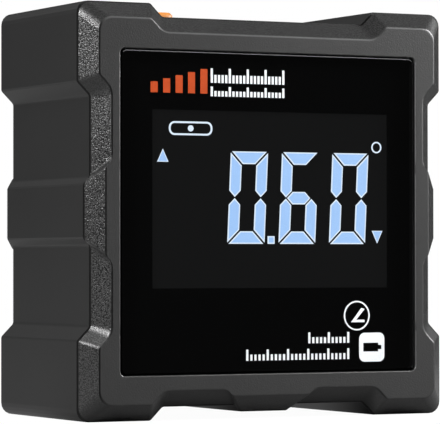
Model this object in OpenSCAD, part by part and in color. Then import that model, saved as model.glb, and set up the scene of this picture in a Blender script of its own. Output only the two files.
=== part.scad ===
/* [Body] */
// Width and height over the corner bumpers
body_w = 60; // [59:0.5:62]
// Depth from the front face to the rear face
body_d = 31; // [30.5:0.5:33]
// Height of a corner bumper above the recessed side
bumper_rise = 1.95; // [1.6:0.05:2.1]
// Height of a middle pad above the recessed side
pad_rise = 0.97; // [0.7:0.01:1.2]
// Length of a corner bumper's flat, from the outline's corner
bumper_l = 11.6; // [11.4:0.1:12]
// Half length of a middle pad's flat
pad_half = 3.85; // [3:0.05:5]
// Inset of the front bevel, seen from the front
bevel_in = 2.4; // [2.2:0.1:2.5]
// Depth of the front bevel
bevel_d = 2.6; // [2.4:0.1:2.8]
// Inset and depth of the rear chamfer
rear_chamfer = 1.2; // [0.8:0.1:1.4]
// Corner radius at the widest outline
corner_r = 1.8; // [1.5:0.1:2.2]
// Corner radius at the front face
front_corner_r = 1.5; // [1.2:0.1:2]
// Radius at the foot of the slopes, widest outline
foot_r = 0.7; // [0.5:0.1:1]
// Radius at the foot of a bumper slope, front face
front_foot_r = 2.5; // [1.5:0.1:2.6]
// Radius at the foot of a pad slope, front face
pad_foot_r = 1.8; // [1:0.1:2]
// Radius at the top of the slopes
crest_r = 0.4; // [0.2:0.1:0.6]
// Side wall beside the mouth of the housing
mouth_wall = 3.8; // [3.7:0.1:4]
// Side wall of the housing, over the bumpers
side_wall = 5.2; // [5.1:0.1:5.4]
// Thickness of the rear wall
rear_wall = 2.2; // [2:0.1:2.4]
// How far a cut runs past the surface that it opens
over = 1; // [0.8:0.1:1.2]

/* [Front bezel] */
// Gap around the tongue that enters the housing
tongue_gap = 0.3; // [0.3:0.05:0.4]
// Wall of the tongue
tongue_t = 1.2; // [1:0.1:1.3]
// Length of the tongue behind the bevel
tongue_l = 1.8; // [1.6:0.1:1.9]
// Thickness of the plate behind the window
plate_t = 1.65; // [1.4:0.05:1.8]
// Thickness of the gasket ring
gasket_t = 0.6; // [0.4:0.1:0.6]
// Width of the gasket ring
gasket_w = 1; // [0.8:0.1:1]
// Distance of the case screws from the outline, both ways
screw_in = 7.6; // [7.5:0.05:7.7]
// Diameter of the bezel's screw bosses
bezel_boss_dia = 4.4; // [4.2:0.1:4.5]
// Length of the bezel bosses behind the main board
boss_over = 0.4; // [0.2:0.1:0.5]
// Diameter of the housing's screw columns
column_dia = 5.6; // [5.4:0.1:5.8]
// Gap between a bezel boss and its housing column
column_gap = 0.2; // [0.1:0.1:0.4]
// Wall under a case screw's head
screw_land = 2.2; // [1.8:0.1:2.4]

/* [Window] */
// Frame beside the window
window_side = 5.675; // [5.5:0.025:6]
// Frame above and below the window
window_ends = 6.65; // [6.5:0.05:7]
// Distance of the window's middle below the body's middle
window_drop = 0.12; // [0:0.01:0.4]
// Corner radius of the window opening
window_r = 0.75; // [0.5:0.05:1]
// Gap around the window lens
lens_gap = 0.12; // [0.08:0.01:0.2]
// Depth of the lens below the front face
lens_below = 0.2; // [0.1:0.05:0.3]
// Thickness of the window lens
lens_t = 1.2; // [1:0.1:1.4]
// Thickness of the printed marks
print_t = 0.06; // [0.05:0.01:0.1]
// Thickness of the black mask film
mask_t = 0.1; // [0.08:0.01:0.15]
// Thickness of the adhesive frame
tape_t = 0.19; // [0.15:0.01:0.25]
// Mask beside the viewing area
view_side = 4.9; // [4.8:0.05:5.3]
// Mask above and below the viewing area, on average
view_ends = 10.5; // [10.35:0.05:10.85]
// Sideways offset of the viewing area's middle
view_x = 0.85; // [0.5:0.05:1]
// Distance of the viewing area's middle above the window's middle
view_shift = 1.94; // [1.7:0.02:2.1]

/* [Display] */
// Height of a digit
digit_h = 13.45; // [12.5:0.05:14]
// Width of a digit
digit_w = 6.1; // [5.8:0.1:6.4]
// Spacing of the digits
digit_pitch = 8.45; // [8.2:0.05:8.6]
// Distance of the last digit from the right edge of the viewing area
digit_in = 3.315; // [3:0.015:3.6]
// Distance of the digits' middle above the viewing area's middle
digit_shift = 0.305; // [0:0.005:0.6]
// Width of a lit bar
bar_w = 1.83; // [1.6:0.01:1.9]
// Offset that keeps neighbouring bars apart
bar_gap = 0.21; // [0.15:0.01:0.3]
// Thickness of the lit shapes
lit_t = 0.1; // [0.08:0.01:0.12]
// Side of the decimal point
dot_w = 1.13; // [0.9:0.01:1.2]
// Distance of the decimal point's middle from the first digit
dot_gap = 0.8; // [0.75:0.01:0.85]
// Outer radius of the degree ring
degree_r = 0.85; // [0.7:0.05:1]
// Stroke of the degree ring
degree_t = 0.2; // [0.15:0.05:0.4]
// Distance of the degree ring's middle from the viewing area's right edge
degree_in = 1.625; // [1.5:0.025:1.8]
// Distance of the degree ring's middle below the viewing area's top
degree_drop = 4.89; // [4:0.01:5.5]
// Width of the small arrows
arrow_w = 1.8; // [1.4:0.1:2]
// Height of the small arrows
arrow_h = 1.85; // [1.5:0.05:2]
// Distance of the upper arrow's middle from the viewing area's left edge
arrow_a_in = 1.825; // [1.6:0.025:2.4]
// Distance of the upper arrow's middle below the digits' top
arrow_a_drop = 0.75; // [0:0.05:2.5]
// Distance of the lower arrow's middle from the viewing area's right edge
arrow_b_in = 1.525; // [1.4:0.025:1.8]
// Distance of the lower arrow's middle above the digits' base
arrow_b_rise = 1.05; // [0.6:0.05:2.5]
// Length of the level vial shape
vial_w = 7; // [5:0.1:7.4]
// Height of the level vial shape
vial_h = 2; // [1.6:0.1:2.2]
// Stroke of the level vial shape
vial_t = 0.26; // [0.2:0.02:0.3]
// Distance of the vial shape's middle from the viewing area's left edge
vial_in = 6.305; // [5.5:0.005:6.6]
// Distance of the vial shape's middle below the viewing area's top
vial_drop = 2.62; // [2.3:0.02:2.9]
// Thickness of each display glass
glass_t = 0.9; // [0.8:0.05:0.95]
// Width of the glasses beyond the viewing area, each side
glass_over = 1.075; // [0.9:0.025:1.2]
// Height of the front glass's bare strip for the contacts
glass_step = 2.3; // [2.1:0.1:2.5]
// Height of the glasses beyond the viewing area, at the top
glass_rise = 1.03; // [0.8:0.01:1.1]
// Height of the rear glass beyond the viewing area, at the bottom
glass_fall = 0.77; // [0.6:0.01:0.9]
// Thickness of the backlight
backlight_t = 2.2; // [2:0.1:2.25]
// Gap around the display stack
stack_gap = 0.25; // [0.2:0.05:0.3]
// Wall of the display frame
frame_t = 1; // [0.8:0.1:1.2]
// Width of the display frame's rear lip
frame_lip = 2.2; // [1.8:0.1:2.4]
// Height of the contact strip
strip_h = 1.6; // [1.4:0.1:1.7]
// Distance of the contact strip's ends from the glass's edges
strip_in = 1.75; // [1.2:0.05:2.5]

/* [Boards] */
// Thickness of the display frame behind the light guide
frame_back = 1.15; // [1.05:0.05:1.25]
// Thickness of the main board
board_t = 1.2; // [1:0.1:1.3]
// Gap between the main board and the housing
board_gap = 1.3; // [1.1:0.1:1.5]
// Free space between the main board's corner cut-outs and the bosses
notch_gap = 2.9; // [2.7:0.1:3.3]
// Sideways distance of the board screws from the main board's edges
board_screw_side = 10.5; // [10:0.5:11.5]
// Distance of the board screws from the main board's upper and lower edges
board_screw_in = 2.9; // [2.7:0.1:3.1]
// Diameter of the board bosses
board_boss_dia = 4; // [3.8:0.1:4.2]
// Clearance hole of a screw
screw_hole_dia = 2.4; // [2.2:0.1:2.5]
// Diameter of a screw's shank
screw_dia = 1.96; // [1.94:0.01:1.98]
// Radial gap between a shank and its threaded hole
thread_gap = 0.02; // [0.01:0.01:0.04]
// Diameter of a screw's head
head_dia = 3.7; // [3.4:0.1:3.8]
// Height of a screw's head
head_h = 1.3; // [1.1:0.1:1.5]
// Width of a screw's driving socket
drive_dia = 1.7; // [1.5:0.1:2]
// Depth of a screw's driving socket
drive_d = 0.8; // [0.6:0.1:0.9]
// Length of a case screw under its head
case_screw_l = 6.5; // [6:0.5:7]
// Length of a board screw under its head
board_screw_l = 4; // [3.5:0.5:4.5]
// Diameter of the hole for a case screw's head
head_hole_dia = 4.2; // [4:0.1:4.3]
// Side of the controller chip
chip_w = 7; // [6:0.5:8]
// Height of the controller chip
chip_t = 1; // [0.8:0.1:1.2]
// Middle of the controller chip, sideways
chip_x = -4; // [-6:0.5:-3]
// Side of the tilt sensor
sensor_w = 3; // [2.5:0.5:3.5]
// Height of the tilt sensor
sensor_t = 0.9; // [0.8:0.1:1]
// Middle of the tilt sensor, sideways
sensor_x = 6; // [5:0.5:8]
// Length of the quartz can
crystal_l = 6.2; // [5.5:0.1:6.5]
// Diameter of the quartz can
crystal_dia = 2; // [1.8:0.1:2.2]
// Height above the middle of the quartz can
crystal_up = 7.5; // [7:0.5:8]
// Length of a small capacitor or resistor
small_part_l = 1.6; // [1.4:0.1:2]
// Width and height of a small capacitor or resistor
small_part_w = 0.8; // [0.6:0.1:1]
// Gap between the small parts
small_part_gap = 1; // [0.8:0.1:1.2]

/* [Keys] */
// Gap between the board screws' heads and the key board
key_board_gap = 1.5; // [1.2:0.1:1.8]
// Length of a key cap
key_w = 5.7; // [5.2:0.1:6]
// Width of a key cap, front to back
key_h = 5; // [4.6:0.1:5.2]
// Corner radius of a key cap
key_r = 1.5; // [1:0.1:1.8]
// Gap around a key cap in its opening
key_gap = 0.3; // [0.25:0.05:0.35]
// Height of the power key above the recessed top
power_rise = 1.65; // [1.2:0.05:1.7]
// Height of the two other keys above the recessed top
low_rise = 0.6; // [0.5:0.05:0.8]
// Chamfer on the top edge of a key cap
key_edge = 0.4; // [0.2:0.05:0.5]
// Travel of a key
key_travel = 0.4; // [0.3:0.05:0.5]
// Flange around the foot of a key
key_flange = 0.9; // [0.7:0.1:1]
// Thickness of a key's flange
flange_t = 0.9; // [0.7:0.1:1]
// Gap between a flange and the top wall
flange_gap = 0.06; // [0.04:0.01:0.1]
// Diameter of a key's stem
stem_dia = 2; // [1.8:0.1:2.2]
// Hole in the key seal around a stem
seal_hole_dia = 2.8; // [2.6:0.1:3]
// Thickness of the key seal
seal_t = 0.7; // [0.6:0.1:0.8]
// Free space between a flange and the key seal
seal_space = 0.6; // [0.55:0.05:0.7]
// Distance of the key board's top below the top wall
key_board_drop = 4.8; // [4.75:0.05:4.9]
// Thickness of the key board
key_board_t = 1; // [0.8:0.1:1.2]
// Gap between the key board and the housing's screw columns
key_board_side = 0.6; // [0.4:0.1:0.9]
// Gap between a key's flange and the collar around the keys
collar_gap = 0.1; // [0.1:0.05:0.2]
// Side of a switch body
switch_w = 5.2; // [5:0.1:5.6]
// Height of a switch body
switch_h = 1.5; // [1.4:0.1:1.6]
// Diameter of a switch plunger
plunger_dia = 2.4; // [2.2:0.1:2.6]
// Depth of the plunger inside its switch
plunger_in = 0.5; // [0.4:0.1:0.6]
// Gap under a pressed plunger
plunger_gap = 0.06; // [0.04:0.01:0.1]

/* [Battery and charging] */
// Free space beside the battery cell
cell_side = 7.3; // [7:0.1:7.8]
// Gap between the battery cell and the key board's underside
cell_gap = 0.4; // [0.3:0.1:1]
// Thickness of the battery cell
cell_t = 5; // [4.5:0.1:5.2]
// Edge radius of the battery cell
cell_r = 1.5; // [1:0.1:2]
// Height of the battery cell above the charging board
cell_over = 8; // [7.8:0.1:8.4]
// Thickness of the tape behind the cell
cell_tape_t = 0.5; // [0.3:0.1:0.6]
// Height of the charging board's top above the housing's floor
charge_rise = 5.4; // [5.2:0.1:5.6]
// Thickness of the charging board
charge_board_t = 1; // [0.8:0.1:1.2]
// Width of the charging board
charge_board_w = 25; // [24:0.5:26]
// Gap between the board screws' heads and the charging board
charge_board_gap = 0.3; // [0.2:0.1:0.5]
// Gap between the charging board and the rear wall
charge_rear_gap = 1.4; // [1.2:0.1:1.8]
// Width of the charging socket's shell
socket_w = 8.94; // [8.9:0.01:9]
// Height of the charging socket's shell
socket_h = 3.2; // [3.1:0.05:3.3]
// Length of the charging socket
socket_l = 7.3; // [7:0.1:7.5]
// Sheet of the charging socket's shell
socket_t = 0.3; // [0.25:0.05:0.35]
// Thickness of the charging socket's closed end
socket_back = 0.9; // [0.7:0.1:1.2]
// Gap between the charging socket and the rear wall
socket_gap = 0.06; // [0.04:0.01:0.1]
// Thickness of the tongue in the socket
socket_tongue_t = 0.7; // [0.6:0.05:0.8]
// Width of the tongue in the socket
socket_tongue_w = 6.7; // [6.4:0.1:6.9]
// Width of the opening in the rear wall
port_w = 10.4; // [10.2:0.1:11]
// Height of the opening in the rear wall
port_h = 5; // [4.8:0.1:5.2]
// Corner radius of the port opening
port_r = 1; // [0.6:0.1:1.4]
// Side of the charging chip
charge_chip_w = 3; // [2.5:0.1:3.5]
// Distance of the charging chip behind the charging board's front edge
charge_chip_in = 9; // [8:0.5:10]
// Length of the battery plug
plug_w = 5; // [4.5:0.1:5.5]
// Depth of the battery plug
plug_d = 4.5; // [4:0.1:5]
// Height of the battery plug
plug_h = 3; // [2.8:0.1:3.2]
// Sideways place of the battery plug's middle
plug_x = 8.5; // [8.2:0.1:9]
// Diameter of a battery wire
wire_dia = 1; // [0.8:0.1:1.1]
// Gap between the battery wires
wire_gap = 0.8; // [0.6:0.1:1]
// Bend radius of a battery wire
wire_bend = 1.5; // [1.2:0.1:1.8]
// Side of a header pin
header_pin = 0.6; // [0.5:0.05:0.64]
// Spacing of the header pins
header_pitch = 2; // [1.8:0.1:2]
// Side of the header block
header_w = 1.8; // [1.6:0.1:2]
// Gap between the charging board's header and a board screw
link_gap = 0.45; // [0.3:0.05:0.6]

// Thickness of the shelves and ribs in the housing
shelf_t = 1; // [0.8:0.1:1.2]
// Overlap of the key board on its shelves, sideways
shelf_under = 0.9; // [0.7:0.1:1]
// Distance of the shelves behind the key board's front edge
shelf_back = 1; // [0.5:0.5:3]
// Sideways place of the charging board's ribs
rib_x = 9; // [8.6:0.2:10]
// Distance of the ribs behind the charging board's front edge
rib_back = 4.2; // [3.7:0.5:6.2]

/* [Magnets] */
// Length of a magnet along the depth
magnet_l = 20; // [18:0.5:21]
// Width of a magnet along its side
magnet_w = 6.2; // [5.6:0.1:6.3]
// Thickness of a magnet
magnet_t = 2.4; // [2.2:0.1:2.45]
// Distance of a magnet behind the start of its bumper's flat
magnet_in = 0.3; // [0.2:0.05:0.4]
// Wall in front of a magnet
magnet_wall = 1.5; // [1.4:0.05:1.6]
// Gap around a magnet in its slot
magnet_gap = 0.1; // [0.05:0.05:0.12]
// Depth from the front face to the front end of a magnet
magnet_d = 2.8; // [2.7:0.1:3]

/* [Port cover] */
// Width of the port cover
cover_w = 13.4; // [13:0.1:14]
// Height of the moving flap
cover_h = 8; // [7.8:0.1:8.2]
// Thickness of the port cover
cover_t = 1; // [0.9:0.05:1]
// Gap around the port cover
cover_gap = 0.3; // [0.25:0.05:0.4]
// Height of the fixed strip of the port cover
anchor_h = 2.2; // [2:0.1:2.4]
// Gap between the flap and its fixed strip
fold_gap = 0.3; // [0.2:0.05:0.4]
// Width of the plug on the flap
lip_w = 7.8; // [7.4:0.1:8]
// Height of the plug on the flap
lip_h = 3.4; // [3:0.1:3.6]
// Length of the plug on the flap
lip_l = 1; // [0.8:0.1:1.05]
// Sideways distance of the retaining stems from the middle
stem_x = 4.4; // [4:0.1:4.8]
// Diameter of a retaining stem
hold_dia = 1.8; // [1.6:0.1:2]
// Diameter of a retaining stem's head
hold_head_dia = 2.8; // [2.6:0.1:2.9]
// Gap around a retaining stem
hold_gap = 0.1; // [0.05:0.05:0.2]
// Length of a retaining stem's head
hold_head_l = 0.8; // [0.6:0.1:0.9]
// Width of the finger notch above the flap
notch_w = 5; // [4:0.5:6]
// Height of the finger notch above the flap
notch_h = 1.4; // [1.2:0.1:1.6]

/* [Printed marks] */
// Distance of the orange scale from the window's left edge
orange_in = 5.465; // [5.3:0.005:5.8]
// Distance of the orange scale's base below the window's top
orange_drop = 6.13; // [5.9:0.01:6.2]
// Length of the orange scale
orange_w = 9.1; // [8.5:0.1:9.2]
// Height of the orange scale
orange_h = 3.55; // [3:0.05:3.6]
// Width of an orange bar
orange_bar = 1.1; // [0.8:0.05:1.2]
// Gap between the orange and the white scales
white_gap = 0.56; // [0.5:0.02:0.7]
// Length of the white scales
white_w = 12.1; // [11:0.1:12.4]
// Height of the upper white scale's base above the orange scale's base
white_a_rise = 1.6; // [1.5:0.05:1.7]
// Height of the upper white scale
white_a_h = 2.1; // [1.8:0.1:2.2]
// Distance of the lower white scale's base below the orange scale's base
white_b_drop = 0.35; // [0.3:0.05:0.4]
// Height of the lower white scale
white_b_h = 1.4; // [1.2:0.05:1.5]
// Width of a white tick
tick_w = 0.34; // [0.25:0.01:0.4]
// Distance of the round mark's middle from the window's right edge
mark_a_in = 9.275; // [9:0.025:9.5]
// Distance of the round mark's middle above the window's lower edge
mark_a_rise = 8.27; // [8.2:0.01:8.5]
// Outer radius of the round mark
mark_a_r = 2.2; // [2:0.05:2.25]
// Stroke of the shape inside the round mark
mark_t = 0.36; // [0.3:0.02:0.44]
// Distance of the square mark's middle from the window's right edge
mark_b_in = 6.725; // [6.3:0.025:7]
// Distance of the square mark's middle above the window's lower edge
mark_b_rise = 3.57; // [3.3:0.01:3.6]
// Side of the square mark
mark_b_w = 4.3; // [4:0.1:4.4]
// Corner radius of the square mark
mark_b_r = 0.9; // [0.6:0.1:1]
// Gap between the lower scales and the square mark
lower_gap = 1.7; // [1.5:0.1:2]
// Length of the long lower scale
lower_w = 17.2; // [16:0.1:17.4]
// Height of the long lower scale's base above the square mark's base
lower_rise = 0.45; // [0.3:0.05:0.6]
// Height of the lower scales
lower_h = 1.6; // [1.2:0.1:1.7]
// Length of the short lower scale
short_w = 6.9; // [6:0.1:7]
// Gap between the two lower scales
row_gap = 0.8; // [0.7:0.05:1]

/* [Hidden] */
link_pins = 3;
key_place_share = 0.665;
mark_ring_share = 0.6;
half = body_w / 2;
recess_n = half - bumper_rise;
pad_n = recess_n + pad_rise;
bumper_from = half - bumper_l;
bumper_foot = bumper_from - bumper_rise;
pad_foot = pad_half + pad_rise;
crest_steps = 1;
foot_steps = 3;
corner_steps = 5;
lens_back = lens_below + lens_t;
mask_d = lens_back + print_t;
tape_d = mask_d + mask_t;
seat_d = tape_d + tape_t;
plate_back = seat_d + plate_t;
tongue_end = bevel_d + tongue_l;
ledge_d = tongue_end + gasket_t;
mouth_half = half - mouth_wall;
cavity_half = half - side_wall;
tongue_half = mouth_half - tongue_gap;
case_screw_at = half - screw_in;
rear_in = body_d - rear_wall;
window_w = body_w - 2 * window_side;
window_h = body_w - 2 * window_ends;
window_up = half - window_drop;
window_top = window_up + window_h / 2;
window_low = window_up - window_h / 2;
view_w = window_w - 2 * view_side;
view_h = window_h - 2 * view_ends;
view_up = window_up + view_shift;
view_top = view_up + view_h / 2;
view_left = view_x - view_w / 2;
view_right = view_x + view_w / 2;
digit_x = view_right - digit_in - digit_w - 2 * digit_pitch;
digit_up = view_up + digit_shift - digit_h / 2;
dot_x = digit_x + digit_w + dot_gap;
degree_x = view_right - degree_in;
degree_up = view_top - degree_drop;
arrow_a_x = view_left + arrow_a_in;
arrow_a_up = digit_up + digit_h - arrow_a_drop;
arrow_b_x = view_right - arrow_b_in;
arrow_b_up = digit_up + arrow_b_rise;
vial_x = view_left + vial_in;
vial_up = view_top - vial_drop;
glass_w = view_w + 2 * glass_over;
glass_top = view_top + glass_rise;
rear_glass_low = view_up - view_h / 2 - glass_fall;
glass_low = rear_glass_low - glass_step;
strip_w = glass_w - 2 * strip_in;
glass_d = seat_d + lit_t;
rear_glass_d = glass_d + glass_t;
backlight_d = rear_glass_d + glass_t;
backlight_end = backlight_d + backlight_t;
board_d = backlight_end + frame_back;
board_back = board_d + board_t;
board_half = cavity_half - board_gap;
board_notch = board_half - case_screw_at + bezel_boss_dia / 2 + notch_gap;
board_screw_x = board_half - board_screw_side;
board_screw_up = board_half - board_screw_in;
bezel_boss_end = board_back + boss_over;
column_end = bezel_boss_end + column_gap;
top_wall_in = half + cavity_half;
top_recess = half + recess_n;
flange_top = top_wall_in - flange_gap;
flange_low = flange_top - flange_t;
seal_top = flange_low - seal_space;
key_board_w = 2 * (case_screw_at - column_dia / 2 - key_board_side);
key_pitch = (key_board_w / 2 - shelf_t) * key_place_share;
key_board_h = key_h + 2 * (key_flange + collar_gap + shelf_t);
key_d = board_back + head_h + key_board_gap + key_board_h / 2;
key_board_up = top_wall_in - key_board_drop;
shelf_from = key_board_w / 2 - shelf_under;
shelf_d = key_d - key_board_h / 2 + shelf_back;
plunger_low = key_board_up + switch_h - plunger_in;
plunger_top = key_board_up + switch_h + key_travel + key_gap;
charge_board_up = half - cavity_half + charge_rise;
charge_board_d = board_back + head_h + charge_board_gap;
charge_board_l = rear_in - charge_rear_gap - charge_board_d;
rib_d = charge_board_d + rib_back;
port_up = charge_board_up + socket_h / 2;
cover_low = port_up - cover_h / 2;
charge_low = charge_board_up - charge_board_t;
rib_low = half - cavity_half - shelf_t / 2;
anchor_up = cover_low - fold_gap - anchor_h / 2;
socket_end = rear_in - socket_gap;
socket_d = socket_end - socket_l;
pocket_d = body_d - cover_t;
cell_d = rear_in - cell_tape_t - cell_t;
cell_w = 2 * (cavity_half - cell_side);
cell_up = charge_board_up + cell_over;
cell_h = key_board_up - key_board_t - cell_gap - cell_up;
magnet_from = bumper_from + magnet_in;
magnet_out = half - magnet_wall;
link_x = board_screw_x - head_dia / 2 - (link_pins + 1) * header_pitch / 2 - link_gap;
orange_x = -window_w / 2 + orange_in;
orange_up = window_top - orange_drop;
white_x = orange_x + orange_w + white_gap;
white_a_up = orange_up + white_a_rise;
white_b_up = orange_up - white_b_drop;
mark_a_x = window_w / 2 - mark_a_in;
mark_a_up = window_low + mark_a_rise;
mark_b_x = window_w / 2 - mark_b_in;
mark_b_up = window_low + mark_b_rise;
lower_x = mark_b_x - mark_b_w / 2 - lower_gap - lower_w;
lower_up = mark_b_up - mark_b_w / 2 + lower_rise;
short_x = lower_x + lower_w - short_w;
short_up = lower_up + lower_h + row_gap;
case_thread_dia = screw_dia + 2 * thread_gap;
head_hole_d = column_end + screw_land;
wire_up = charge_board_up + plug_h / 2;
wire_pitch = wire_dia + wire_gap;
small_part_pitch = small_part_l + small_part_gap;
orange_count = 5;
orange_low_share = 0.44;
upper_count = 21;
lower_count = 21;
short_count = 11;
long_count = 26;
long_every = 5;
tick_low_share = 0.55;
cell_mark_share = 0.6;
angle_shift_share = 0.75;
angle_rise_share = 0.85;
lean_share = 0.046;
vial_round_share = 0.45;
shell_round_share = 0.42;
tape_share = 0.6;
small_count = 5;
$fn = 48;

function at_depth(d) = d - body_d / 2;
function toward(a, b) = (b - a) / norm(b - a);
function wrapped(a) = a > 180 ? a - 360 : a < -180 ? a + 360 : a;
function arc_at(a, p, b, r, n) =
  let (u = toward(p, a),
       v = toward(p, b),
       part_angle = acos(u * v) / 2,
       c = p + toward([0, 0], u + v) * r / sin(part_angle),
       s = p + u * r / tan(part_angle) - c,
       e = p + v * r / tan(part_angle) - c,
       from = atan2(s[1], s[0]),
       sweep = wrapped(atan2(e[1], e[0]) - from))
  [for (i = [0 : n]) c + r * [cos(from + sweep * i / n), sin(from + sweep * i / n)]];
function rounded(v) =
  let (n = len(v))
  [for (i = [0 : n - 1]) let (a = v[(i + n - 1) % n], p = v[i], b = v[(i + 1) % n])
    each arc_at([a[0], a[1]], [p[0], p[1]], [b[0], b[1]], p[2], p[3])];
function rect_ring(cx, cz, w, h, r) =
  rounded([[cx - w / 2, cz - h / 2, r, corner_steps], [cx + w / 2, cz - h / 2, r, corner_steps],
    [cx + w / 2, cz + h / 2, r, corner_steps], [cx - w / 2, cz + h / 2, r, corner_steps]]);
function side_at(k, t, n) = k == 0 ? [t, half - n] : k == 1 ? [n, half + t] :
  k == 2 ? [-t, half + n] : [-n, half - t];
function side_list(inset, padded) =
  let (nb = half - inset,
       nr = recess_n - inset,
       np = pad_n - inset,
       bf = bumper_from + inset * (sqrt(2) - 1),
       rf = bumper_foot + inset * (sqrt(2) - 1),
       pf = pad_half + inset,
       pr = pad_foot + inset)
  padded ?
    [[-bf, nb, 0], [-rf, nr, 1], [-pr, nr, 2], [-pf, np, 0], [pf, np, 0], [pr, nr, 2], [rf, nr, 1],
      [bf, nb, 0], [nb, nb, 3]] :
    [[-bf, nb, 0], [-rf, nr, 1], [rf, nr, 1], [bf, nb, 0], [nb, nb, 3]];
function outline(inset, radii) =
  rounded([for (k = [0 : 3]) each [for (p = side_list(inset, k != 2))
    let (q = side_at(k, p[0], p[1]))
    [q[0], q[1], radii[p[2]], p[2] == 0 ? crest_steps : p[2] == 3 ? corner_steps : foot_steps]]]);
function outer_outline() = outline(0, [crest_r, foot_r, foot_r, corner_r]);
function front_outline() = outline(bevel_in, [crest_r, front_foot_r, pad_foot_r, front_corner_r]);
function rear_outline() = outline(rear_chamfer, [crest_r, foot_r, foot_r, front_corner_r]);
function ring_at(ring, d) = [for (p = ring) [p[0], at_depth(d), p[1]]];

module skin(rings, middle_a, middle_b) {
  n = len(rings[0]);
  m = len(rings);
  polyhedron(
    points = concat([for (r = rings) each r], [middle_a, middle_b]),
    faces = concat([for (i = [0 : n - 1]) [m * n, (i + 1) % n, i]],
      [for (i = [0 : n - 1]) [m * n + 1, (m - 1) * n + i, (m - 1) * n + (i + 1) % n]],
      [for (k = [0 : m - 2]) for (i = [0 : n - 1]) let (j = (i + 1) % n)
        each [[k * n + i, k * n + j, k * n + n + j], [k * n + i, k * n + n + j, k * n + n + i]]]));
}
module panel(cx, cz, w, h, d0, d1) {
  translate([cx - w / 2, at_depth(d0), cz - h / 2]) cube([w, d1 - d0, h]);
}
module shape_at(pts, d0, d1) {
  translate([0, at_depth(d1), 0]) rotate([90, 0, 0]) linear_extrude(height = d1 - d0) polygon(pts);
}
module rod_back(x, z, dia, d0, d1) {
  translate([x, at_depth(d0), z]) rotate([-90, 0, 0]) cylinder(d = dia, h = d1 - d0);
}
module rod_up(x, d, dia, z0, z1) {
  translate([x, at_depth(d), z0]) cylinder(d = dia, h = z1 - z0);
}
module slab_up(x, d, w, l, z0, z1) {
  translate([x - w / 2, at_depth(d) - l / 2, z0]) cube([w, l, z1 - z0]);
}
module screw_at(x, z, under_d, l) {
  difference() {
    union() {
      rod_back(x, z, screw_dia, under_d - l, under_d + head_h / 2);
      rod_back(x, z, head_dia, under_d, under_d + head_h);
    }
    translate([x, at_depth(under_d + head_h - drive_d), z]) rotate([-90, 0, 0])
      cylinder(d = drive_dia, h = drive_d * 2, $fn = 6);
  }
}

module front_bezel() {
  color([0.23, 0.23, 0.23])
  difference() {
    union() {
      skin([ring_at(front_outline(), 0), ring_at(outer_outline(), bevel_d)],
        [0, at_depth(0), half], [0, at_depth(bevel_d), half]);
      difference() {
        panel(0, half, 2 * tongue_half, 2 * tongue_half, bevel_d / 2, tongue_end);
        panel(0, half, 2 * (tongue_half - tongue_t), 2 * (tongue_half - tongue_t), plate_back,
          tongue_end + over);
      }
      for (sx = [-1, 1], sz = [-1, 1]) {
        rod_back(sx * case_screw_at, half + sz * case_screw_at, bezel_boss_dia, bevel_d, bezel_boss_end);
        rod_back(sx * board_screw_x, half + sz * board_screw_up, board_boss_dia, bevel_d, board_d);
      }
    }
    shape_at(rect_ring(0, window_up, window_w, window_h, window_r), -over, seat_d);
    panel(view_x, (glass_low + glass_top) / 2, glass_w + 2 * stack_gap,
      glass_top - glass_low + 2 * stack_gap, seat_d - over, plate_back + over);
    for (sx = [-1, 1], sz = [-1, 1]) {
      rod_back(sx * case_screw_at, half + sz * case_screw_at, case_thread_dia, plate_back,
        bezel_boss_end + over);
      rod_back(sx * board_screw_x, half + sz * board_screw_up, case_thread_dia, seat_d + plate_t / 2,
        board_d + over);
    }
  }
}

module magnet_pair(k, gap, d0, d1) {
  for (s = [-1, 1]) {
    t0 = magnet_from - gap;
    t1 = magnet_from + magnet_w + gap;
    n0 = magnet_out - magnet_t - gap;
    n1 = magnet_out + gap;
    a = side_at(k, s * t0, n0);
    b = side_at(k, s * t1, n1);
    translate([min(a[0], b[0]), at_depth(d0), min(a[1], b[1])])
      cube([abs(a[0] - b[0]), d1 - d0, abs(a[1] - b[1])]);
  }
}

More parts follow.
